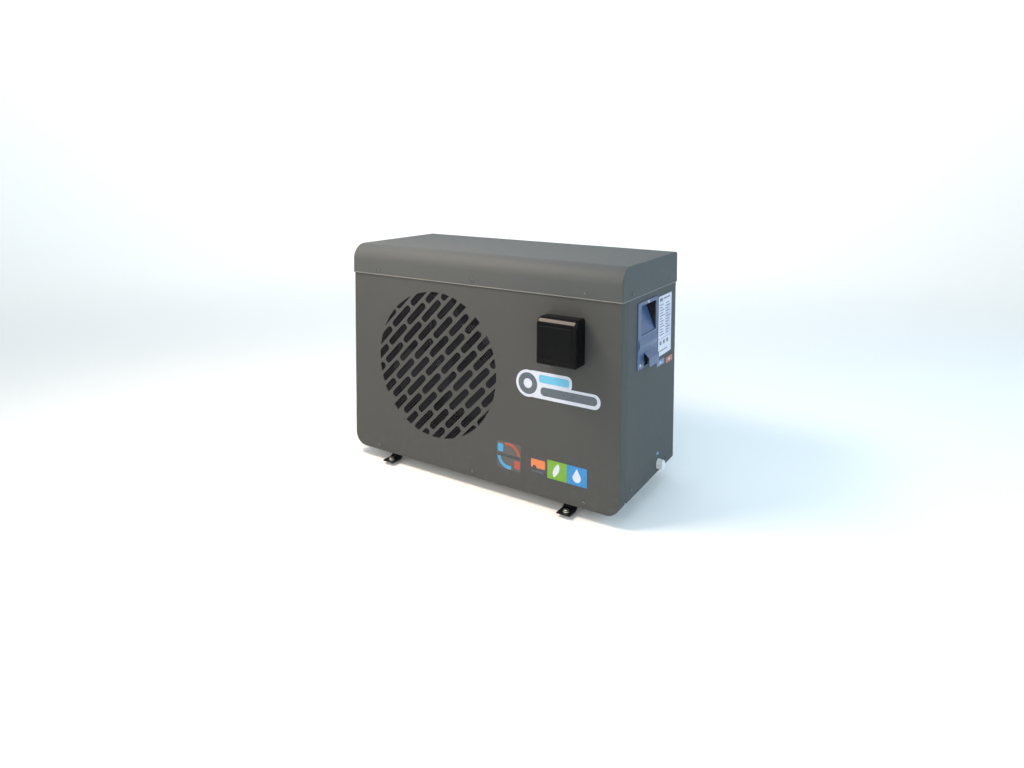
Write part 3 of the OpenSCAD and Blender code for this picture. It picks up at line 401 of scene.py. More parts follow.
# the same powder coat in a tone between case and cover for the end and rear panels: painted light, standing in for
# the light those faces catch
PANEL_PAINTED_LIGHT = powder_coat("paint_panels_painted_light", srgb(79, 80, 79))
# black rubber finish on the right scoop's rear wall: painted shade, standing in for the shadow inside the recess
SCOOP_WALL_PAINTED_SHADE = black_rubber("scoop_wall_painted_shade")


# ---------- mesh helpers ----------

def add(name, data):
    """Object of a mesh, lamp or camera, put into the scene."""
    obj = bpy.data.objects.new(name, data)
    bpy.context.scene.collection.objects.link(obj)
    return obj


def even(obj):
    """Face-weighted normals, so that large flat faces shade flat up to their rounded edges."""
    normal = obj.modifiers.new("normals", "WEIGHTED_NORMAL")
    normal.keep_sharp = True


def thicken(obj, thick):
    """Gives a skin a wall inwards."""
    solid = obj.modifiers.new("wall", "SOLIDIFY")
    solid.thickness = thick
    solid.offset = -1
    return solid


def soften(obj, width, segments=3):
    """Rounds the sharp edges of a piece or CAD node."""
    weld = obj.modifiers.new("weld", "WELD")
    weld.merge_threshold = 1e-5
    bevel = obj.modifiers.new("soft_edges", "BEVEL")
    bevel.width = width
    bevel.segments = segments
    bevel.limit_method = "ANGLE"
    bevel.angle_limit = math.radians(40)
    even(obj)


def piece(name, bm, body, slot, replaces=(), smooth=32, finishes=None):
    """Turns a bmesh into a piece that rides on a CAD body."""
    bmesh.ops.remove_doubles(bm, verts=bm.verts, dist=1e-6)
    bmesh.ops.dissolve_degenerate(bm, edges=bm.edges, dist=1e-7)
    bmesh.ops.recalc_face_normals(bm, faces=bm.faces)
    mesh = bpy.data.meshes.new(name)
    bm.to_mesh(mesh)
    bm.free()
    obj = add(name, mesh)
    for mat in finishes or [FINISHES[slot]]:
        mesh.materials.append(mat)
    mesh.shade_smooth()
    mesh.set_sharp_from_angle(angle=math.radians(smooth))
    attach(obj, body)
    if replaces:
        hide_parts(*replaces)
    return obj


def loft(bm, rings, closed=True, caps=False, mat=0):
    """Skins rings that have equal numbers of points."""
    rows = [[bm.verts.new(p) for p in ring] for ring in rings]
    count = len(rows[0])
    for a, b in zip(rows, rows[1:]):
        for i in range(count if closed else count - 1):
            k = (i + 1) % count
            bm.faces.new((a[i], a[k], b[k], b[i])).material_index = mat
    if caps:
        bm.faces.new(rows[0][::-1]).material_index = mat
        bm.faces.new(rows[-1]).material_index = mat
    return rows


def basis(axis):
    """Two unit vectors square to an axis and to each other."""
    w = Vector(axis).normalized()
    u = w.cross(Vector((0, 0, 1)) if abs(w.z) < 0.9 else Vector((1, 0, 0))).normalized()
    return u, w.cross(u), w


def lathe(bm, profile, at, axis, steps):
    """Turns (radius, distance along axis) points about an axis through at."""
    u, v, w = basis(axis)
    rings = []
    for radius, along in profile:
        middle = Vector(at) + w * along
        rings.append([middle + u * x + v * y for x, y in circle((0, 0), max(radius, 1e-6), steps)])
    loft(bm, rings)


def tube(bm, points, radius, sides=8, closed=False, mat=0):
    """Round bar along points, with closed ends unless it is a loop."""
    points = [Vector(p) for p in points]
    count = len(points)
    normal = None
    section = circle((0, 0), radius, sides)
    rings = []
    for i, p in enumerate(points):
        ahead = points[(i + 1) % count] if closed or i + 1 < count else p
        behind = points[i - 1] if closed or i else p
        d = (ahead - behind).normalized()
        if normal is None:
            normal = basis(d)[0]
        normal = (normal - d * normal.dot(d)).normalized()
        side = d.cross(normal)
        rings.append([p + normal * x + side * y for x, y in section])
    if closed:
        rings.append(rings[0])
    loft(bm, rings, caps=not closed, mat=mat)


def soft_box(bm, low, high, radius, mat=0):
    """Box with rounded edges."""
    low, high = Vector(low), Vector(high)
    made = bmesh.ops.create_cube(bm, size=1.0)["verts"]
    for v in made:
        v.co = low + (v.co + Vector((0.5, 0.5, 0.5))) * (high - low)
    faces = {f for v in made for f in v.link_faces}
    for f in faces:
        f.material_index = mat
    if radius > 0:
        edges = list({e for v in made for e in v.link_edges})
        bmesh.ops.bevel(bm, geom=edges, offset=radius, segments=3, profile=0.5, affect="EDGES")


def arc(centre, radius, start, end, steps):
    """Points on an arc, in degrees, both ends included."""
    turns = [math.radians(start + (end - start) * k / steps) for k in range(steps + 1)]
    return [(centre[0] + radius * math.cos(t), centre[1] + radius * math.sin(t)) for t in turns]


def circle(centre, radius, steps=24):
    return arc(centre, radius, 0, 360 - 360 / steps, steps - 1)


def round_rect(low, high, radius, steps=8):
    """Anticlockwise rectangle with round corners."""
    (x0, y0), (x1, y1), r = low, high, radius
    return (arc((x1 - r, y0 + r), r, -90, 0, steps) + arc((x1 - r, y1 - r), r, 0, 90, steps)
            + arc((x0 + r, y1 - r), r, 90, 180, steps) + arc((x0 + r, y0 + r), r, 180, 270, steps))


def offset_loop(loop, d):
    """An anticlockwise loop moved outwards by d, with mitred corners."""
    out = []
    for i, here in enumerate(loop):
        a, b, c = Vector(loop[i - 1]), Vector(here), Vector(loop[(i + 1) % len(loop)])
        before, after = (b - a).normalized(), (c - b).normalized()
        n1, n2 = Vector((before.y, -before.x)), Vector((after.y, -after.x))
        out.append(tuple(b + (n1 + n2) * (d / max(1 + n1.dot(n2), 0.6))))
    return out


def fill(bm, loops):
    """Fills the face between an outer loop of vertices and its holes."""
    edges = []
    for loop in loops:
        for i, v in enumerate(loop):
            w = loop[(i + 1) % len(loop)]
            edges.append(bm.edges.get((v, w)) or bm.edges.new((v, w)))
    bmesh.ops.triangle_fill(bm, edges=edges, use_beauty=True, use_dissolve=False)


QUARTER = [math.pi / 2 * k / 5 for k in range(6)]


def facing_front(y):
    """Places the face of a sheet in (X, Z) at y."""
    return lambda u, v, depth: (u, y + depth, v)


def folded_sheet(bm, outline, holes, place, thick, bend, flange, lip=0.4 * MM):
    """Sheet with a bent rim of depth flange and lipped holes. place(u, v, depth) gives the 3-D point."""
    def ring(loop, out, depth):
        return [place(u, v, depth) for u, v in offset_loop(loop, out)]

    rim = [ring(outline, bend * (math.sin(t) - 1), bend * (1 - math.cos(t))) for t in QUARTER]
    for inset, depth in ((0, flange), (thick, flange), (thick, thick)):
        rim.append(ring(outline, -inset, depth))
    rows = loft(bm, rim)
    faces, backs = [rows[0]], [rows[-1]]
    for hole in holes:
        rings = [ring(hole, lip * (1 - math.sin(t)), lip * (1 - math.cos(t))) for t in QUARTER]
        rows = loft(bm, rings + [ring(hole, 0, thick)])
        faces.append(rows[0])
        backs.append(rows[-1])
    fill(bm, faces)
    fill(bm, backs)


# ---------- case panels ----------

SLOT_PITCH, ROW_PITCH, SLOT_LENGTH, SLOT_WIDTH = 100 * MM, 30 * MM, 90 * MM, 20 * MM
SLOT_ANGLE = math.radians(45)
SMALLEST_SLOT = 90 * MM * MM


def clip_to_circle(loop, radius, sides=144):
    """The part of a convex loop inside a circle about the origin."""
    for k in range(sides):
        n = Vector((math.cos(2 * math.pi * k / sides), math.sin(2 * math.pi * k / sides)))
        if all(n.dot(Vector(p)) <= radius for p in loop):
            continue
        kept = []
        for i, p in enumerate(loop):
            a, b = Vector(loop[i - 1]), Vector(p)
            da, db = n.dot(a) - radius, n.dot(b) - radius
            if da * db < 0:
                kept.append(tuple(a + (b - a) * (da / (da - db))))
            if db <= 0:
                kept.append(tuple(b))
        loop = kept
        if len(loop) < 3:
            return []
    return [p for i, p in enumerate(loop) if (Vector(p) - Vector(loop[i - 1])).length > 0.05 * MM]


def loop_area(loop):
    return sum(a[0] * b[1] - b[0] * a[1] for a, b in zip(loop, loop[1:] + loop[:1])) / 2


def grille_slots():
    """Slots on a staggered grid, sloping up to the right and cut off by the round grille.

    Slivers smaller than SMALLEST_SLOT are left closed.
    """
    slots = []
    c, s = math.cos(SLOT_ANGLE), math.sin(SLOT_ANGLE)
    half = (SLOT_LENGTH - SLOT_WIDTH) / 2
    shape = arc((half, 0), SLOT_WIDTH / 2, -90, 90, 10) + arc((-half, 0), SLOT_WIDTH / 2, 90, 270, 10)
    for j in range(-8, 9):
        for i in range(-4, 5):
            along = SLOT_PITCH * (i + (0 if j % 2 == 0 else 0.5))
            across = ROW_PITCH * j
            moved = [(u + along, v + across) for u, v in shape]
            loop = clip_to_circle([(u * c - v * s, u * s + v * c) for u, v in moved], GRILLE_R)
            if len(loop) > 3 and loop_area(loop) > SMALLEST_SLOT:
                slots.append([(FAN.x + u, FAN.z + v) for u, v in loop])
    return slots


def build_front_panel():
    corner = 40 * MM
    z0, z1 = FRONT_LOW.z, FRONT_HIGH.z
    outline = (arc((SIDE_X - corner, z0 + corner), corner, -90, 0, 14) + [(SIDE_X, z1), (-SIDE_X, z1)]
               + arc((-SIDE_X + corner, z0 + corner), corner, 180, 270, 14))
    bm = bmesh.new()
    folded_sheet(bm, outline, grille_slots(), facing_front(FRONT_Y), SHEET, 3 * MM,
                 FRONT_HIGH.y - FRONT_Y, lip=0.7 * MM)
    even(piece("front_panel_sheet", bm, "case", "case_grey", ["front_panel"]))


def build_top_cover():
    """Drawn cover with a large front radius, a small rear radius and softly bent ends."""
    y0, y1, z0, z1 = COVER_LOW.y, COVER_HIGH.y, COVER_LOW.z, COVER_HIGH.z
    front_r, rear_r, bend = 45 * MM, 8 * MM, 3 * MM

    def section(x, inset):
        front = arc((y0 + front_r, z1 - front_r), front_r - inset, 180, 90, 20)
        rear = arc((y1 - rear_r, z1 - rear_r), rear_r - inset, 90, 0, 6)
        return [(x, y, z) for y, z in [(y0 + inset, z0)] + front + rear + [(y1 - inset, z0)]]

    half = COVER_HIGH.x
    left = [section(-half + bend * (1 - math.cos(t)), bend * (1 - math.sin(t))) for t in QUARTER]
    right = [[(-x, y, z) for x, y, z in ring] for ring in reversed(left)]
    bm = bmesh.new()
    rows = loft(bm, left + right, closed=False)
    bm.faces.new(rows[0])
    bm.faces.new(rows[-1])
    obj = piece("top_cover_sheet", bm, "case", "cover_grey", ["top_cover"])
    thicken(obj, SHEET).use_even_offset = True
    even(obj)


def build_cover_hem():
    """Rolled hem round the cover's lower edge, in a lighter paint that is a painted highlight along that edge."""
    r = 1.4 * MM
    x, y = COVER_HIGH.x - 0.5 * MM, COVER_HIGH.y - 0.5 * MM
    bm = bmesh.new()
    path = [(u, v, COVER_LOW.z + r) for u, v in round_rect((-x, -y), (x, y), 3 * MM, 5)]
    tube(bm, path, r, 8, closed=True)
    piece("top_cover_hem", bm, "case", "cover_grey", finishes=[HEM_PAINTED_HIGHLIGHT])


def build_end_panel(side, node, holes):
    """End panel in the YZ plane with a rounded return at its rear edge."""
    low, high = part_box(node)
    turn = 2.5 * MM
    rear = high.y - turn
    outline = [(low.y, low.z), (rear, low.z), (rear, high.z), (low.y, high.z)]
    bm = bmesh.new()
    folded_sheet(bm, outline, holes, lambda u, v, d: (side * (SIDE_X - d), u, v),
                 SHEET, 0.3 * MM, 1.05 * SHEET, lip=0.3 * MM)
    outer = arc((SIDE_X - turn, rear), turn, 0, 90, 6)
    inner = arc((SIDE_X - turn, rear), turn - SHEET, 90, 0, 6)
    inside = low.x if side > 0 else -high.x
    profile = outer + [(inside, high.y), (inside, high.y - SHEET)] + inner
    loft(bm, [[(side * x, y, z) for x, y in profile] for z in (low.z, high.z)], caps=True)
    even(piece(node + "_sheet", bm, "case", "cover_grey", [node], finishes=[PANEL_PAINTED_LIGHT]))


def build_rear_panel():
    """Rear sheet in (-X, Z) with the coil opening and two holes for the water connections."""
    low, high = REAR_LOW, REAR_HIGH
    guard_low, guard_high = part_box("coil_guard")
    margin, port_r = 3 * MM, 34.5 * MM
    holes = [round_rect((margin - guard_high.x, guard_low.z + margin),
                        (-guard_low.x - margin, guard_high.z - margin), 6 * MM, 5)]
    for name in ("water_inlet", "water_outlet"):
        x, _, z = MOUNTS[name]["pos_m"]
        holes.append(circle((-x, z), port_r, 40))
    outline = [(-high.x, low.z), (-low.x, low.z), (-low.x, high.z), (-high.x, high.z)]
    bm = bmesh.new()
    folded_sheet(bm, outline, holes, lambda u, v, d: (-u, high.y - d, v),
                 SHEET, 0.4 * MM, 1.05 * SHEET, lip=0.3 * MM)
    even(piece("rear_panel_sheet", bm, "case", "cover_grey", ["rear_panel"], finishes=[PANEL_PAINTED_LIGHT]))


build_front_panel()
build_top_cover()
build_cover_hem()
build_rear_panel()


# ---------- end mouldings ----------

RIM, WALL = 3.5 * MM, 2.5 * MM
SCOOP_LOW = (GRIP_LOW.y + 22 * MM, GRIP_LOW.z + 87 * MM)
SCOOP_HIGH = (GRIP_HIGH.y - 12 * MM, GRIP_HIGH.z - 10 * MM)
SCOOP_DEPTH = 30 * MM
HOOD_LOW = (GRIP_LOW.y + 42 * MM, GRIP_LOW.z + 2 * MM)
HOOD_HIGH = (GRIP_HIGH.y - 24 * MM, GRIP_LOW.z + 41 * MM)
HOOD_OUT = GRIP_HIGH.x - SIDE_X - RIM


def moulded_plate(bm, side, low, high, extra_holes=()):
    """Plate on an end panel, in (Y, Z), with a finger scoop that gets deeper towards its top."""
    def place(u, v, d):
        return (side * (SIDE_X + RIM - d), side * u, v)

    def loop(a, b, r):
        if side < 0:
            a, b = (-b[0], a[1]), (-a[0], b[1])
        return round_rect(a, b, r, 6)

    scoop = loop(SCOOP_LOW, SCOOP_HIGH, 4 * MM)
    folded_sheet(bm, loop(low, high, 5 * MM), [scoop, *extra_holes], place, RIM - 0.5 * MM, 1.5 * MM, RIM,
                 lip=1.2 * MM)
    bottom, top = SCOOP_LOW[1], SCOOP_HIGH[1] - 4 * MM

    def floor(v):
        return RIM + SCOOP_DEPTH * min(max((v - bottom) / (top - bottom), 0.0), 1.0)

    rows = loft(bm, [[place(u, v, RIM - 0.6 * MM) for u, v in scoop],
                     [place(u, v, floor(v)) for u, v in scoop]])
    fill(bm, [rows[-1]])
    # the right scoop's rear wall takes the second finish, black: painted shade in the recess
    for f in bm.faces:
        centre = f.calc_center_median()
        sunk = abs(centre.x) < SIDE_X - 0.2 * MM
        if side > 0 and sunk and centre.y > SCOOP_HIGH[0] - 0.8 * MM:
            f.material_index = 1


def extrude_profile(bm, profile, y0, y1):
    """Prism of an (X, Z) loop along Y."""
    loft(bm, [[(x, y, z) for x, z in profile] for y in (y0, y1)], caps=True)


def build_grip_moulding():
    """Right plate with its scoop, a drip ridge and the hood over the cable gland."""
    face = SIDE_X + RIM
    mouth = round_rect((HOOD_LOW[0] + 1 * MM, HOOD_LOW[1] + 2 * MM),
                       (HOOD_HIGH[0] - WALL, HOOD_HIGH[1] - WALL), 2 * MM, 4)
    bm = bmesh.new()
    moulded_plate(bm, 1, (GRIP_LOW.y, GRIP_LOW.z), (GRIP_HIGH.y, GRIP_HIGH.z), [mouth])
    even(piece("grip_moulding_plate", bm, "case", "moulding_blue", ["cable_cover"],
               finishes=[FINISHES["moulding_blue"], SCOOP_WALL_PAINTED_SHADE]))

    out, top, base = face + HOOD_OUT, HOOD_HIGH[1], HOOD_LOW[1]
    round_r = 5 * MM
    knee = (out - round_r, top - HOOD_OUT - 2 * MM)
    outer = [(face - 2 * MM, top), (face, top)] + arc(knee, round_r, 45, 0, 4) + [(out, base)]
    inner = [(out - WALL, base)] + arc(knee, round_r - WALL, 0, 45, 4) + [
        (face, top - 1.3 * WALL), (face - 2 * MM, top - 1.3 * WALL)]
    bm = bmesh.new()
    extrude_profile(bm, outer + inner, HOOD_LOW[0], HOOD_HIGH[0] - WALL)
    extrude_profile(bm, outer + [(face - 2 * MM, base)], HOOD_HIGH[0] - WALL, HOOD_HIGH[0])
    soften(piece("grip_moulding_hood", bm, "case", "moulding_blue"), 0.7 * MM)

    ridge = GRIP_LOW.z + 61 * MM
    bm = bmesh.new()
    section = [(-1, -12), (0.1, -12), (3.4, 0), (3.4, 2), (0.1, 22), (-1, 22)]
    extrude_profile(bm, [(face + x * MM, ridge + z * MM) for x, z in section],
                    GRIP_LOW.y + 5 * MM, GRIP_HIGH.y - 5 * MM)
    soften(piece("grip_moulding_ridge", bm, "case", "moulding_blue"), 0.7 * MM)


def build_left_grip():
    low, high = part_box("left_grip")
    bm = bmesh.new()
    moulded_plate(bm, -1, (low.y, low.z), (high.y, high.z))
    even(piece("left_grip_moulding", bm, "case", "moulding_blue", ["left_grip"]))


build_grip_moulding()
build_left_grip()
GAP = 3 * MM
SCOOP_HOLE = round_rect((SCOOP_LOW[0] - GAP, SCOOP_LOW[1] - GAP),
                        (SCOOP_HIGH[0] + GAP, SCOOP_HIGH[1] + GAP), 2 * MM, 3)
CABLE_HOLE = round_rect(HOOD_LOW, HOOD_HIGH, 2 * MM, 3)
build_end_panel(1, "right_side_panel", [SCOOP_HOLE, CABLE_HOLE, circle((DRAIN.y, DRAIN.z), 12 * MM, 32)])
build_end_panel(-1, "left_side_panel", [SCOOP_HOLE])


# ---------- grille mesh, fan ----------

def build_grille_weave():
    """Woven cloth with diamond cells behind the slots, held in a flat rim."""
    y = GRILLE_LOW.y + 1.4 * MM
    pitch, wire, wave = 7.4 * MM, 0.95 * MM, 0.35 * MM
    lean = math.radians(43)
    radius = GRILLE_R + 1 * MM
    step = pitch / math.sin(2 * lean)
    reach = int(radius / pitch)
    bm = bmesh.new()
    for family, angle in enumerate((lean, -lean)):
        c, s = math.cos(angle), math.sin(angle)
        for k in range(-reach, reach + 1):
            off = k * pitch
            steps = int(math.sqrt(radius ** 2 - off ** 2) / step)
            points = []
            for i in range(-steps, steps + 1):
                lift = wave if (i + k + family) % 2 else -wave
                points.append((FAN.x + i * step * c - off * s, y + lift, FAN.z + i * step * s + off * c))
            if steps > 0:
                tube(bm, points, wire, 6)
    piece("grille_wire_cloth", bm, "case", "mesh_black", smooth=75)
    bm = bmesh.new()
    inner, outer, back = GRILLE_R - 1 * MM, GRILLE_R + 3 * MM, 1.9 * MM
    lathe(bm, [(inner, 0.2 * MM), (outer, 0.2 * MM), (outer, back), (inner, back), (inner, 0.2 * MM)],
          (FAN.x, GRILLE_LOW.y, FAN.z), (0, 1, 0), 128)
    piece("grille_rim", bm, "case", "mesh_black", ["grille_mesh"])


def build_fan():
    """Three wide sickle blades with twist and camber on a ribbed hub."""
    low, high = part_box("fan_rotor")
    tip, hub, root = 199 * MM, 47 * MM, 45 * MM
    reach_y = (high.y - low.y) / 2 - 1 * MM
    start = math.radians(-38)
    blades, spans, chords = 3, 12, 16
    bm = bmesh.new()
    for blade in range(blades):
        sections = []
        for i in range(spans + 1):
            s = i / spans
            r = root + (tip - root) * s
            half = (52 + 46 * math.sin(math.pi * (s * 0.62 + 0.05))) * MM
            sweep = 0.32 * s * s
            pitch = math.radians(36 - 13 * s)
            face, back = [], []
            for j in range(chords + 1):
                c = 2 * j / chords - 1
                edge = 1 - 0.22 * max(0.0, s - 0.8) / 0.2 * c * c
                reach = c * half * edge
                around = reach * math.cos(pitch) / max(r, 70 * MM)
                a = start + blade * 2 * math.pi / blades + sweep + around
                h = reach * math.sin(pitch) * 0.8 + 6 * MM * (1 - c * c)
                thick = 1.4 * MM * math.sqrt(max(1 - c ** 4, 0.0)) + 0.15 * MM
                for row, lift in ((face, thick), (back, -thick)):
                    y = max(min(h + lift, reach_y), -reach_y)
                    row.append((FAN.x + r * math.cos(a), FAN.y + y, FAN.z + r * math.sin(a)))
            sections.append(face + back[::-1])
        loft(bm, sections, caps=True)
    cup = [(0, -25), (14, -25.6), (34, -24.5), (43, -21), (47, -14), (48, 0), (48, 25), (45, 25.8),
           (43, 25), (42.5, -12), (0, -14)]
    lathe(bm, [(r * MM, y * MM) for r, y in cup], FAN, (0, 1, 0), 72)
    middle = FAN + Vector((0, 6 * MM, 0))
    for x, z in circle((0, 0), 1, 9):
        u = Vector((x, 0, z))
        tube(bm, [middle + u * (8 * MM), middle + u * (hub - 4 * MM)], 3 * MM, 6)
    piece("fan_rotor_moulded", bm, "fan", "fan_plastic", ["fan_rotor"], smooth=50)


build_grille_weave()
build_fan()


# ---------- controller ----------

KEYS = ("power", "mode", "up", "down")


def middle_of(node):
    low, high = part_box(node)
    return (low + high) / 2


def build_lid():
    """Gloss flap: rounded shell with a slanted upper front edge, a raised front field and hinge ears."""
    low, high = LID_LOW, LID_HIGH
    slant_z, slant_y = 14 * MM, 12 * MM
    outline = [(high.y, low.z), (low.y, low.z), (low.y, high.z - slant_z), (low.y + slant_y, high.z),
               (high.y, high.z)]
    bm = bmesh.new()
    loft(bm, [[(x, y, z) for y, z in outline] for x in (low.x, high.x)], caps=True)
    bmesh.ops.recalc_face_normals(bm, faces=bm.faces)

    def at_back(e):
        return all(abs(v.co.y - high.y) < 1e-6 for v in e.verts)

    bmesh.ops.bevel(bm, geom=[e for e in bm.edges if not at_back(e)], offset=6 * MM, segments=6,
                    profile=0.5, affect="EDGES")
    open_back = [f for f in bm.faces if all(abs(v.co.y - high.y) < 1e-6 for v in f.verts)]
    bmesh.ops.delete(bm, geom=open_back, context="FACES")
    shell = piece("controller_flap_shell", bm, "lid", "gloss_black", ["controller_lid"], smooth=40)
    thicken(shell, 2.2 * MM)
    even(shell)

    bm = bmesh.new()
    field = round_rect((low.x + 8 * MM, low.z + 19 * MM),
                       (high.x - 12 * MM, high.z - slant_z - 7 * MM), 3 * MM, 6)
    folded_sheet(bm, field, [], facing_front(low.y - 0.9 * MM), 1.0 * MM, 0.8 * MM, 1.1 * MM)
    soft_box(bm, (low.x + 12 * MM, low.y - 1.2 * MM, low.z + 12.6 * MM),
             (high.x - 16 * MM, low.y + 0.5 * MM, low.z + 14.4 * MM), 0.5 * MM)
    even(piece("controller_flap_field", bm, "lid", "gloss_black", smooth=50))

    bm = bmesh.new()
    mid = (low.x + high.x) / 2
    for side in (-1, 1):
        x = mid + side * 46 * MM
        soft_box(bm, (x - 2.4 * MM, HINGE.y - 4 * MM, HINGE.z - 4 * MM),
                 (x + 2.4 * MM, HINGE.y + 3.4 * MM, high.z - 1 * MM), 1.2 * MM)
    piece("controller_flap_ears", bm, "lid", "gloss_black")


def build_housing():
    """Console behind the flap: foot plate, seal, raised console with window frame and button wells."""
    low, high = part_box("controller_base")
    disp_low, disp_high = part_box("controller_display")
    mid = (low.x + high.x) / 2
    top = HINGE.z - 7 * MM
    bm = bmesh.new()
    plate = round_rect((low.x, low.z), (high.x, top), 6 * MM, 6)
    foot, half = 5.5 * MM, 46 * MM
    folded_sheet(bm, plate, [], facing_front(high.y - foot), 2 * MM, 1 * MM, foot)
    wells, well_r = [], 6.3 * MM
    for key in KEYS:
        x, _, z = middle_of("button_" + key)
        wells.append(circle((x, z), well_r, 32))
    window = round_rect((disp_low.x, disp_low.z), (disp_high.x, disp_high.z), 1.5 * MM, 4)
    console_y = disp_low.y - 0.4 * MM
    console = round_rect((mid - half, low.z + 8 * MM), (mid + half, low.z + 98 * MM), 5 * MM, 6)
    folded_sheet(bm, console, [window] + wells, facing_front(console_y), 3 * MM, 2 * MM,
                 high.y - foot - console_y, lip=0.6 * MM)
    for side in (-1, 1):
        x = mid + side * 30 * MM
        for y_end, z_end in ((high.y - 4 * MM, top), (HINGE.y + 2.5 * MM, HINGE.z)):
            soft_box(bm, (x - 5 * MM, HINGE.y - 3 * MM, top - 8 * MM), (x + 5 * MM, y_end, z_end), 1 * MM)
        lathe(bm, [(1.6 * MM, 0), (3 * MM, 0), (3 * MM, 10 * MM), (1.6 * MM, 10 * MM)],
              (x - 5 * MM, HINGE.y, HINGE.z), (1, 0, 0), 32)
    piece("controller_housing", bm, "case", "console_black", ["controller_base"])

    bm = bmesh.new()
    inset = 1.5 * MM
    seal = round_rect((low.x + inset, low.z + inset), (high.x - inset, top - inset), 5 * MM, 6)
    tube(bm, [(u, high.y - 6 * MM, v) for u, v in seal], 1.1 * MM, 8, closed=True)
    piece("controller_seal", bm, "case", "rubber_black")


def build_display():
    """LCD window with seven-segment digits and small state marks."""
    low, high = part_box("controller_display")
    bm = bmesh.new()
    gap = 0.3 * MM
    glass = round_rect((low.x + gap, low.z + gap), (high.x - gap, high.z - gap), 1.3 * MM, 4)
    folded_sheet(bm, glass, [], facing_front(low.y), 1 * MM, 0.5 * MM, high.y - low.y - 0.1 * MM)
    back, face = low.y - 0.05 * MM, low.y + 0.1 * MM
    segments = {"2": "abged", "8": "abcdefg", "5": "afgcd"}
    places = {"a": (0, 2, 1), "b": (1, 1.5, 0), "c": (1, 0.5, 0), "d": (0, 0, 1), "e": (-1, 0.5, 0),
              "f": (-1, 1.5, 0), "g": (0, 1, 1)}
    height, width, bar = 8.5 * MM, 5 * MM, 0.9 * MM
    for k, digit in enumerate("285"):
        x = low.x + 24 * MM + k * 16 * MM
        z = (low.z + high.z) / 2 - height
        for name in segments[digit]:
            px, pz, flat = places[name]
            cx, cz = x + px * width, z + pz * height
            half = (width - 0.8 * MM, bar) if flat else (bar, height / 2 - 0.8 * MM)
            soft_box(bm, (cx - half[0], back, cz - half[1]), (cx + half[0], face, cz + half[1]), 0, 1)
    for k in range(4):
        z = low.z + 5 * MM + k * 8 * MM
        soft_box(bm, (low.x + 4 * MM, back, z), (low.x + 9 * MM, face, z + 2.5 * MM), 0, 1)
    piece("controller_lcd", bm, "case", "display_glass", ["controller_display"],
          finishes=[FINISHES["display_glass"], LCD_INK])


def build_button(key):
    """Dished key with a rim and a raised mark."""
    name = "button_" + key
    low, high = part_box(name)
    x, _, z = middle_of(name)
    r = (high.x - low.x) / 2
    bm = bmesh.new()
    dish = [(2.4, 0.4), (1.6, 0.1), (1.0, 0.0), (0.4, 0.12), (0.05, 0.6), (0, 1.2)]
    lathe(bm, [(0, 0.45 * MM)] + [(r - inset * MM, depth * MM) for inset, depth in dish]
          + [(r, high.y - low.y), (0, high.y - low.y)], (x, low.y, z), (0, 1, 0), 40)
    y = low.y + 0.3 * MM

    def mark(points, closed=False):
        tube(bm, [(x + u * MM, y, z + v * MM) for u, v in points], 0.28 * MM, 6, closed, 1)

    if key == "power":
        mark(arc((0, 0), 1.9, 50, -230, 14))
        mark([(0, 0.4), (0, 2.4)])
    elif key == "mode":
        mark(round_rect((-1.7, -1.7), (1.7, 1.7), 0.5, 3), True)
    else:
        k = 1 if key == "up" else -1
        mark([(-2, -1.1 * k), (0, 1.3 * k), (2, -1.1 * k)])
    piece(name + "_key", bm, name, "button_grey", [name], finishes=[FINISHES["button_grey"], LCD_INK])


build_lid()
build_housing()
build_display()
for key in KEYS:
    build_button(key)


# ---------- labels and marks ----------

def film(bm, loop, place, lift, thick, mat):
    """Flat film of a loop; lift is how far its face stands off the panel."""
    top = [bm.verts.new(place(u, v, lift)) for u, v in loop]
    base = [bm.verts.new(place(u, v, lift - thick)) for u, v in loop]
    bm.faces.new(top).material_index = mat
    bm.faces.new(base[::-1]).material_index = mat
    for i in range(len(loop)):
        k = (i + 1) % len(loop)
        bm.faces.new((top[k], top[i], base[i], base[k])).material_index = mat


def on_side(u, v, lift):
    return (SIDE_X + lift, u, v)


def on_front(u, v, lift):
    return (u, FRONT_Y - lift, v)


FILM = 0.25 * MM  # thickness of a label
STEP = 0.04 * MM  # height of each printed layer above it


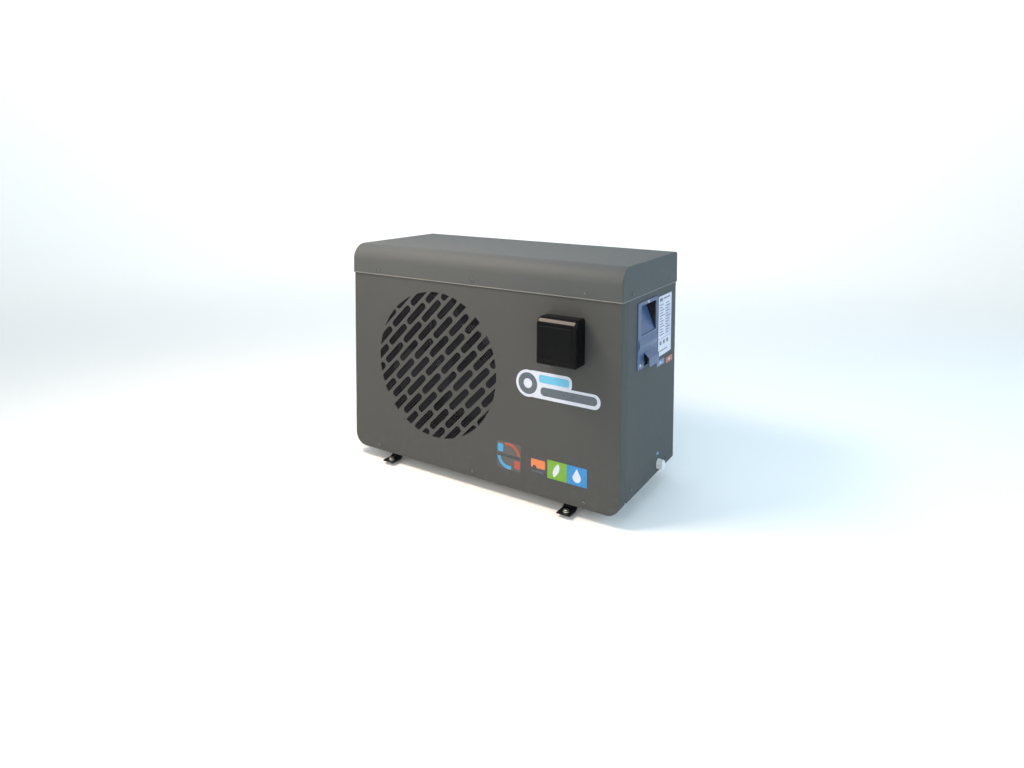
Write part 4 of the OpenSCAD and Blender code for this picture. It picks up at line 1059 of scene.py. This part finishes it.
def build_rating_plate():
    """White plate with generic rows of grey bars, a pale blue field and three square symbols."""
    low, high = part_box("rating_label")
    bm = bmesh.new()
    film(bm, round_rect((low.y, low.z), (high.y, high.z), 2 * MM, 4), on_side, FILM, FILM, 0)
    width = high.y - low.y

    def bar(y, z, w, h, mat=1, level=2):
        loop = round_rect((y, z), (y + w, z + h), min(w, h) * 0.2, 2)
        film(bm, loop, on_side, FILM + level * STEP, STEP, mat)

    bar(low.y + 50 * MM, low.z + 52 * MM, 42 * MM, 86 * MM, 2, 1)
    bar(low.y + 8 * MM, high.z - 15 * MM, 22 * MM, 9 * MM)
    bar(low.y + 36 * MM, high.z - 11 * MM, 50 * MM, 4 * MM)
    for k, share in enumerate((0.3, 0.22, 0.34, 0.26, 0.38, 0.2, 0.31, 0.28, 0.36, 0.24, 0.3, 0.34)):
        z = high.z - 26 * MM - k * 7.6 * MM
        bar(low.y + 8 * MM, z, width * share, 2.6 * MM)
        bar(low.y + 56 * MM, z, width * (0.5 - share) * 1.2, 2.6 * MM)
    bar(low.y + 4 * MM, high.z - 120 * MM, width - 8 * MM, 1.2 * MM)
    for k in range(3):
        bar(low.y + 10 * MM + k * 26 * MM, high.z - 137 * MM, 14 * MM, 11 * MM)
    bar(low.y + 10 * MM, low.z + 12 * MM, 60 * MM, 3 * MM)
    piece("rating_plate", bm, "case", "label_white", ["rating_label"],
          finishes=[FINISHES["label_white"], INK, FILMS["pale"]])


def build_port_labels():
    """Blue and red port stickers and the small drain sticker, each with an arrow.

    The arrow is drawn in units of 1/28 of a sticker's height.
    """
    bm = bmesh.new()
    for k, (low, high) in enumerate(sorted(islands("side_labels"), key=lambda box: box[0].y)):
        loop = round_rect((low.y, low.z), (high.y, high.z), 2 * MM, 4)
        film(bm, loop, on_side, FILM, FILM, 1 if k == 2 else 0)
        way = 1 if k == 0 else -1
        unit = (high.z - low.z) / 28
        middle = (low + high) / 2
        arrow = [(-10, -3), (2, -3), (2, -8), (11, 0), (2, 8), (2, 3), (-10, 3)]
        points = [(middle.y + way * u * unit, middle.z + v * unit) for u, v in arrow]
        film(bm, points[::way], on_side, FILM + STEP, STEP, 2)
    piece("port_stickers", bm, "case", "label_colour", ["side_labels"],
          finishes=[FINISHES["label_colour"], FILMS["red"], FINISHES["label_white"]])


def build_front_marks():
    """Plain shapes: an emblem of a disc and two bars, a ring of two arcs, and three tiles."""
    bm = bmesh.new()
    ring_box, emblem, *tiles = islands("front_badges")
    tones = ["white", "grey", "sky", "blue", "red", "green", "cyan", "dark", "orange", "clear"]

    def shape(loop, level, tone):
        thick = FILM if level == 0 else STEP
        film(bm, loop, on_front, FILM + level * STEP, thick, tones.index(tone))

    def disc(x, z, r, level, tone):
        shape(circle((x, z), r, 48), level, tone)

    def bar(x0, z0, x1, z1, r, level, tone):
        shape(round_rect((x0, z0), (x1, z1), r, 8), level, tone)

    low, high = emblem
    x, z = low.x + 38 * MM, (low.z + high.z) / 2
    disc(x, z, 36.5 * MM, 1, "white")
    bar(x, z - 35 * MM, high.x - 1 * MM, z + 4 * MM, 18 * MM, 0, "white")
    bar(x, z - 2 * MM, high.x - 82 * MM, z + 37 * MM, 14 * MM, 0.5, "white")
    disc(x, z, 29 * MM, 2, "grey")
    disc(x, z, 13 * MM, 3, "white")
    bar(x + 34 * MM, z + 8 * MM, high.x - 90 * MM, z + 29 * MM, 6 * MM, 2, "sky")
    bar(x + 39 * MM, z - 26 * MM, high.x - 10 * MM, z - 3 * MM, 11 * MM, 2, "grey")

    low, high = ring_box
    cx, cz, r = (low.x + high.x) / 2, (low.z + high.z) / 2, (high.x - low.x) / 2
    bar(low.x, low.z, high.x, high.z, 5 * MM, 0, "clear")
    for start, end, inner, way, tone in ((188, 284, 0.7, -1, "blue"), (8, 112, 0.76, 1, "red")):
        band = arc((cx, cz), 0.95 * r, start, end, 24) + arc((cx, cz), inner * r, end, start, 24)
        shape(band, 1, tone)
        x0, x1 = sorted((way * 0.46 * r, way * 0.93 * r))
        z0, z1 = sorted((-way * 0.22 * r, -way * 0.78 * r))
        bar(cx + x0, cz + z0, cx + x1, cz + z1, 4 * MM, 1, tone)
    bar(cx - 0.95 * r, cz - 0.12 * r, cx + 0.95 * r, cz + 0.1 * r, 3 * MM, 1, "dark")

    for (low, high), tone in zip(tiles, ("dark", "green", "cyan")):
        bar(low.x, low.z, high.x, high.z, 1 * MM, 0, tone)
    centres = [((low.x + high.x) / 2, (low.z + high.z) / 2) for low, high in tiles]
    x, z = centres[0]
    bar(x - 21 * MM, z - 6 * MM, x + 22 * MM, z + 17 * MM, 3 * MM, 1, "orange")
    disc(x - 10 * MM, z - 5 * MM, 6 * MM, 2, "dark")
    bar(x - 18 * MM, z - 17 * MM, x + 16 * MM, z - 14 * MM, 1.4 * MM, 1, "grey")
    x, z = centres[1]
    leaf = arc((x + 12 * MM, z), 24 * MM, 128, 232, 14) + arc((x - 17.5 * MM, z), 24 * MM, -52, 52, 14)
    shape([(x + (u - x) * 0.9 + (v - z) * 0.35, v) for u, v in leaf], 1, "white")
    x, z = centres[2]
    drop = [(x, z + 19 * MM)] + arc((x, z - 5 * MM), 12 * MM, 145, 395, 26)
    shape(drop, 1, "white")
    piece("front_stickers", bm, "case", "badge_film", ["front_badges"],
          finishes=[FILMS[tone] for tone in tones])


build_rating_plate()
build_port_labels()
build_front_marks()


# ---------- feet ----------

def build_rails():
    """Joggled flat-bar rails with rounded bends and softened edges."""
    low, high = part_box("foot_rails")
    pitch = MOUNTS["foot_screws"]["dims"]["spacing_x_mm"] * MM / 2
    width, thick = high.x - pitch, 3 * MM
    tab, top = low.z + thick / 2, high.z - thick / 2
    rise, knee = 144 * MM, 174.5 * MM

    def bend(before, corner, after, radius=8 * MM, steps=5):
        """Points of a rounded corner."""
        a, b = (before - corner).normalized(), (after - corner).normalized()
        reach = radius * math.tan((math.pi - a.angle(b)) / 2)
        start, end = corner + a * reach, corner + b * reach
        weights = [k / steps for k in range(steps + 1)]
        return [start * (1 - t) ** 2 + corner * 2 * t * (1 - t) + end * t * t for t in weights]

    corners = [Vector(c) for c in ((low.y, tab), (-knee, tab), (-rise, top), (rise, top), (knee, tab),
                                   (high.y, tab))]
    path = [corners[0]]
    for before, corner, after in zip(corners, corners[1:], corners[2:]):
        path += bend(before, corner, after)
    path.append(corners[-1])
    section = round_rect((-width, -thick / 2), (width, thick / 2), 0.8 * MM, 3)
    bm = bmesh.new()
    for side in (-1, 1):
        rings = []
        for i, p in enumerate(path):
            d = (path[min(i + 1, len(path) - 1)] - path[max(i - 1, 0)]).normalized()
            rings.append([(side * pitch + u, p.x - d.y * v, p.y + d.x * v) for u, v in section])
        loft(bm, rings, caps=True)
    even(piece("foot_rail_bars", bm, "case", "rail_black", ["foot_rails"]))


def build_foot_bolts():
    """Hex flange bolts with threaded shanks."""
    seat, pitch = 12.5 * MM, 1.25 * MM
    shank = MOUNTS["foot_screws"]["dims"]["stud_r_mm"] * MM
    bm = bmesh.new()
    for low, high in islands("foot_screws"):
        at = (low + high) / 2
        at.z = low.z
        thread = [(0, 0), (0.78 * shank, 0)]
        for k in range(7):
            z = 0.6 * MM + k * pitch
            thread += [(0.84 * shank, z), (shank, z + 0.55 * MM)]
            thread += [(shank, z + 0.75 * MM), (0.84 * shank, z + pitch)]
        neck = shank + 0.5 * MM
        lathe(bm, thread + [(shank, 9.4 * MM), (neck, 9.4 * MM), (neck, seat)], at, (0, 0, 1), 28)
        flange = [(8.4, 0), (8.6, 0.3), (8.4, 0.9), (7.9, 1.1), (7.6, 1.7), (5, 1.8)]
        lathe(bm, [(shank, seat)] + [(r * MM, seat + z * MM) for r, z in flange], at, (0, 0, 1), 40)
        rings = []
        for r, z in ((6.3, 1.6), (7.4, 2.2), (7.4, 5.2), (6.5, 6.0), (5.2, 6.2), (0.1, 6.2)):
            corners = [math.radians(60 * k + 12) for k in range(6)]
            rings.append([at + Vector((r * MM * math.cos(a), r * MM * math.sin(a), seat + z * MM))
                          for a in corners])
        loft(bm, rings)
    piece("foot_bolts_zinc", bm, "case", "zinc", ["foot_screws"], smooth=28)


def pan_head(bm, at, axis, height, r):
    """Domed screw head with a cross recess, standing on a face at a point."""
    u, v, w = basis(axis)
    arm, half = 0.5 * r, 0.11 * r

    def cross(a):
        a = (a + math.pi / 4) % (math.pi / 2) - math.pi / 4
        return min(arm / math.cos(a), half / max(abs(math.sin(a)), 1e-3))

    def ring(radius, along):
        """Ring of a head; radius is a function of the angle."""
        turns = [2 * math.pi * k / 48 for k in range(48)]
        return [at + w * along + (u * math.cos(a) + v * math.sin(a)) * radius(a) for a in turns]

    dome = [(1, -0.3), (1, 0.35), (0.94, 0.6), (0.8, 0.82), (0.65, 0.95)]
    rings = [ring(lambda a: k * r, along * height) for k, along in dome]
    rings += [ring(cross, height), ring(cross, 0.45 * height), ring(lambda a: 1e-5, 0.4 * height)]
    loft(bm, rings)


def build_case_screws():
    """Cross-head screws; those in the grip moulding are bright, the others dark."""
    height = 2.6 * MM
    bright, dark = bmesh.new(), bmesh.new()
    for low, high in islands("case_screws"):
        size, middle = high - low, (low + high) / 2
        k = max(range(3), key=lambda i: size[i])
        axis = Vector((0, 0, 0))
        axis[k] = math.copysign(1, middle[k])
        base = middle + axis * (size[k] / 2 - height)
        on_grip = middle.x > 0 and all(GRIP_LOW[i] < middle[i] < GRIP_HIGH[i] for i in (1, 2))
        pan_head(bright if on_grip else dark, base, axis, height, min(size) / 2)
    piece("moulding_screws", bright, "case", "zinc")
    piece("case_screw_heads", dark, "case", "zinc", ["case_screws"], finishes=[SCREW_DARK])


build_rails()
build_foot_bolts()
build_case_screws()


# ---------- coil and guard ----------

def build_coil():
    """Thin rippled fins at a close pitch on two rows of copper tubes."""
    low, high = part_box("coil_fins")
    pitch, half = 2.4 * MM, 0.11 * MM
    ripples = 6
    bm = bmesh.new()
    for k in range(int((high.x - low.x) / pitch)):
        x = low.x + (k + 0.5) * pitch
        rings = []
        for i in range(ripples + 1):
            y = low.y + (high.y - low.y) * i / ripples
            off = x + (0.25 * MM if i % 2 else -0.25 * MM)
            rings.append([(off - half, y, low.z), (off + half, y, low.z),
                          (off + half, y, high.z), (off - half, y, high.z)])
        loft(bm, rings, caps=True)
    piece("coil_fin_pack", bm, "case", "fin_aluminium", ["coil_fins"], smooth=10)
    bends_low, bends_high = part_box("coil_bends")
    tube_r, tube_pitch = 4.8 * MM, 26 * MM
    bm = bmesh.new()
    for y in (bends_low.y + tube_r, bends_high.y - tube_r):
        z = bends_low.z + tube_r
        while z < bends_high.z:
            tube(bm, [(low.x, y, z), (high.x, y, z)], tube_r, 12)
            z += tube_pitch
    piece("coil_tubes", bm, "case", "copper_tube")


def build_guard():
    """Welded guard of level wires behind upright ones."""
    low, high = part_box("coil_guard")
    r = 1.25 * MM
    inset = Vector((r, r, r))
    start, end = low + inset, high - inset
    level_gaps, upright_gaps = 8, 40
    bm = bmesh.new()
    for k in range(level_gaps + 1):
        z = start.z + (end.z - start.z) * k / level_gaps
        tube(bm, [(start.x, start.y, z), (end.x, start.y, z)], r, 8)
    for k in range(upright_gaps + 1):
        x = start.x + (end.x - start.x) * k / upright_gaps
        tube(bm, [(x, end.y, start.z), (x, end.y, end.z)], r, 8)
    piece("coil_guard_wires", bm, "case", "guard_grey", ["coil_guard"])


build_coil()
build_guard()


# ---------- finishes on the CAD nodes that stay ----------

SLOT_OF = {p["node"]: p["material_slot"] for p in frame["record"]["subparts"]}
SOFT_EDGES = {
    "inlet_union_nut": 1.2, "outlet_union_nut": 1.2, "union_tails": 1.0, "water_connections": 0.8,
    "drain_cap": 0.8, "drain_nipple": 0.6, "fan_motor": 2.0, "fan_shroud": 0.5, "compressor": 1.0,
    "heat_exchanger": 1.0, "cable_gland": 0.6, "condensate_spout": 0.6,
}
for node, obj in frame["nodes"].items():
    mat = FINISHES[SLOT_OF[node]]
    if obj.data.materials:
        for k in range(len(obj.data.materials)):
            obj.data.materials[k] = mat
    else:
        obj.data.materials.append(mat)
    if node in SOFT_EDGES and not obj.hide_render:
        soften(obj, SOFT_EDGES[node] * MM, 2)


# ---------- stage, lights, camera ----------

def build_stage():
    """Pale floor that curves up into a surrounding wall."""
    bm = bmesh.new()
    flat, bend, top = 4.0, 2.0, 5.0
    profile = [(0, 0), (flat, 0)]
    turns = [math.pi / 2 * k / 12 for k in range(1, 13)]
    profile += [(flat + bend * math.sin(t), bend * (1 - math.cos(t))) for t in turns]
    profile.append((flat + bend, top))
    lathe(bm, profile, (0, 0, 0), (0, 0, 1), 96)
    mesh = bpy.data.meshes.new("studio_floor")
    bmesh.ops.remove_doubles(bm, verts=bm.verts, dist=1e-5)
    bm.to_mesh(mesh)
    bm.free()
    obj = add("studio_floor", mesh)
    mesh.shade_smooth()
    f = Finish("studio_paper", (0.96, 0.92, 0.87, 1.0), 0.85, Emission_Color=(1.0, 0.98, 0.96, 1.0))
    f.feed(f.bsdf, Emission_Strength=f.spread(f.axis("Z"), 0.0, 1.6, 0.07, 0.16))
    mesh.materials.append(f.mat)


def area_light(name, at, target, size, power, colour):
    data = bpy.data.lights.new(name, "AREA")
    data.shape = "RECTANGLE"
    data.size, data.size_y = size
    data.energy = power
    data.color = colour
    obj = add(name, data)
    obj.location = at
    obj.rotation_euler = (Vector(target) - Vector(at)).to_track_quat("-Z", "Y").to_euler()
    obj.visible_camera = False


def build_camera():
    """Camera of a free fit to the case's edges: yaw, pitch and roll in degrees."""
    data = bpy.data.cameras.new("camera")
    cam = add("camera", data)
    yaw, pitch, roll = math.radians(31.017), math.radians(3.27), math.radians(0.342)
    level = Vector((-math.sin(yaw), math.cos(yaw), 0))
    forward = level * math.cos(pitch) - Vector((0, 0, math.sin(pitch)))
    right = Vector((math.cos(yaw), math.sin(yaw), 0))
    up = right.cross(forward)
    rolled_right = right * math.cos(roll) + up * math.sin(roll)
    rolled_up = up * math.cos(roll) - right * math.sin(roll)
    eye = (1.1335, -1.7393, 0.9170)
    cam.matrix_world = Matrix.Translation(eye) @ Matrix(
        (rolled_right, rolled_up, -forward)).transposed().to_4x4()
    data.sensor_width = 36.0
    data.lens = 24.53
    data.shift_x = -0.0231
    data.shift_y = -0.1789
    data.clip_start, data.clip_end = 0.05, 60
    bpy.context.scene.camera = cam


def build_world():
    world = bpy.data.worlds.new("studio")
    bpy.context.scene.world = world
    world.use_nodes = True
    back = world.node_tree.nodes["Background"]
    back.inputs["Color"].default_value = (0.62, 0.82, 1.0, 1.0)
    back.inputs["Strength"].default_value = 0.45


build_stage()
build_world()
area_light("key", (-0.42, -0.75, 1.67), (0, -0.1, 0.35), (0.6, 0.42), 27, (1.0, 0.83, 0.7))
area_light("front_fill", (0.1, -3.6, 2.4), (0, 0, 0.4), (3.0, 2.0), 32, (1.0, 0.98, 0.92))
area_light("side_sky", (3.4, 0.2, 1.8), (0.3, 0, 0.3), (2.6, 2.4), 64, (0.34, 0.68, 1.0))
area_light("top_sky", (0.1, 0.5, 3.4), (0, 0, 0.5), (3.2, 2.6), 22, (0.42, 0.72, 1.0))
area_light("backdrop", (-1.8, 2.8, 3.6), (-3.6, 5.6, 1.6), (6.0, 1.5), 92, (0.86, 0.94, 1.0))
build_camera()
bpy.context.scene.view_settings.view_transform = "Standard"
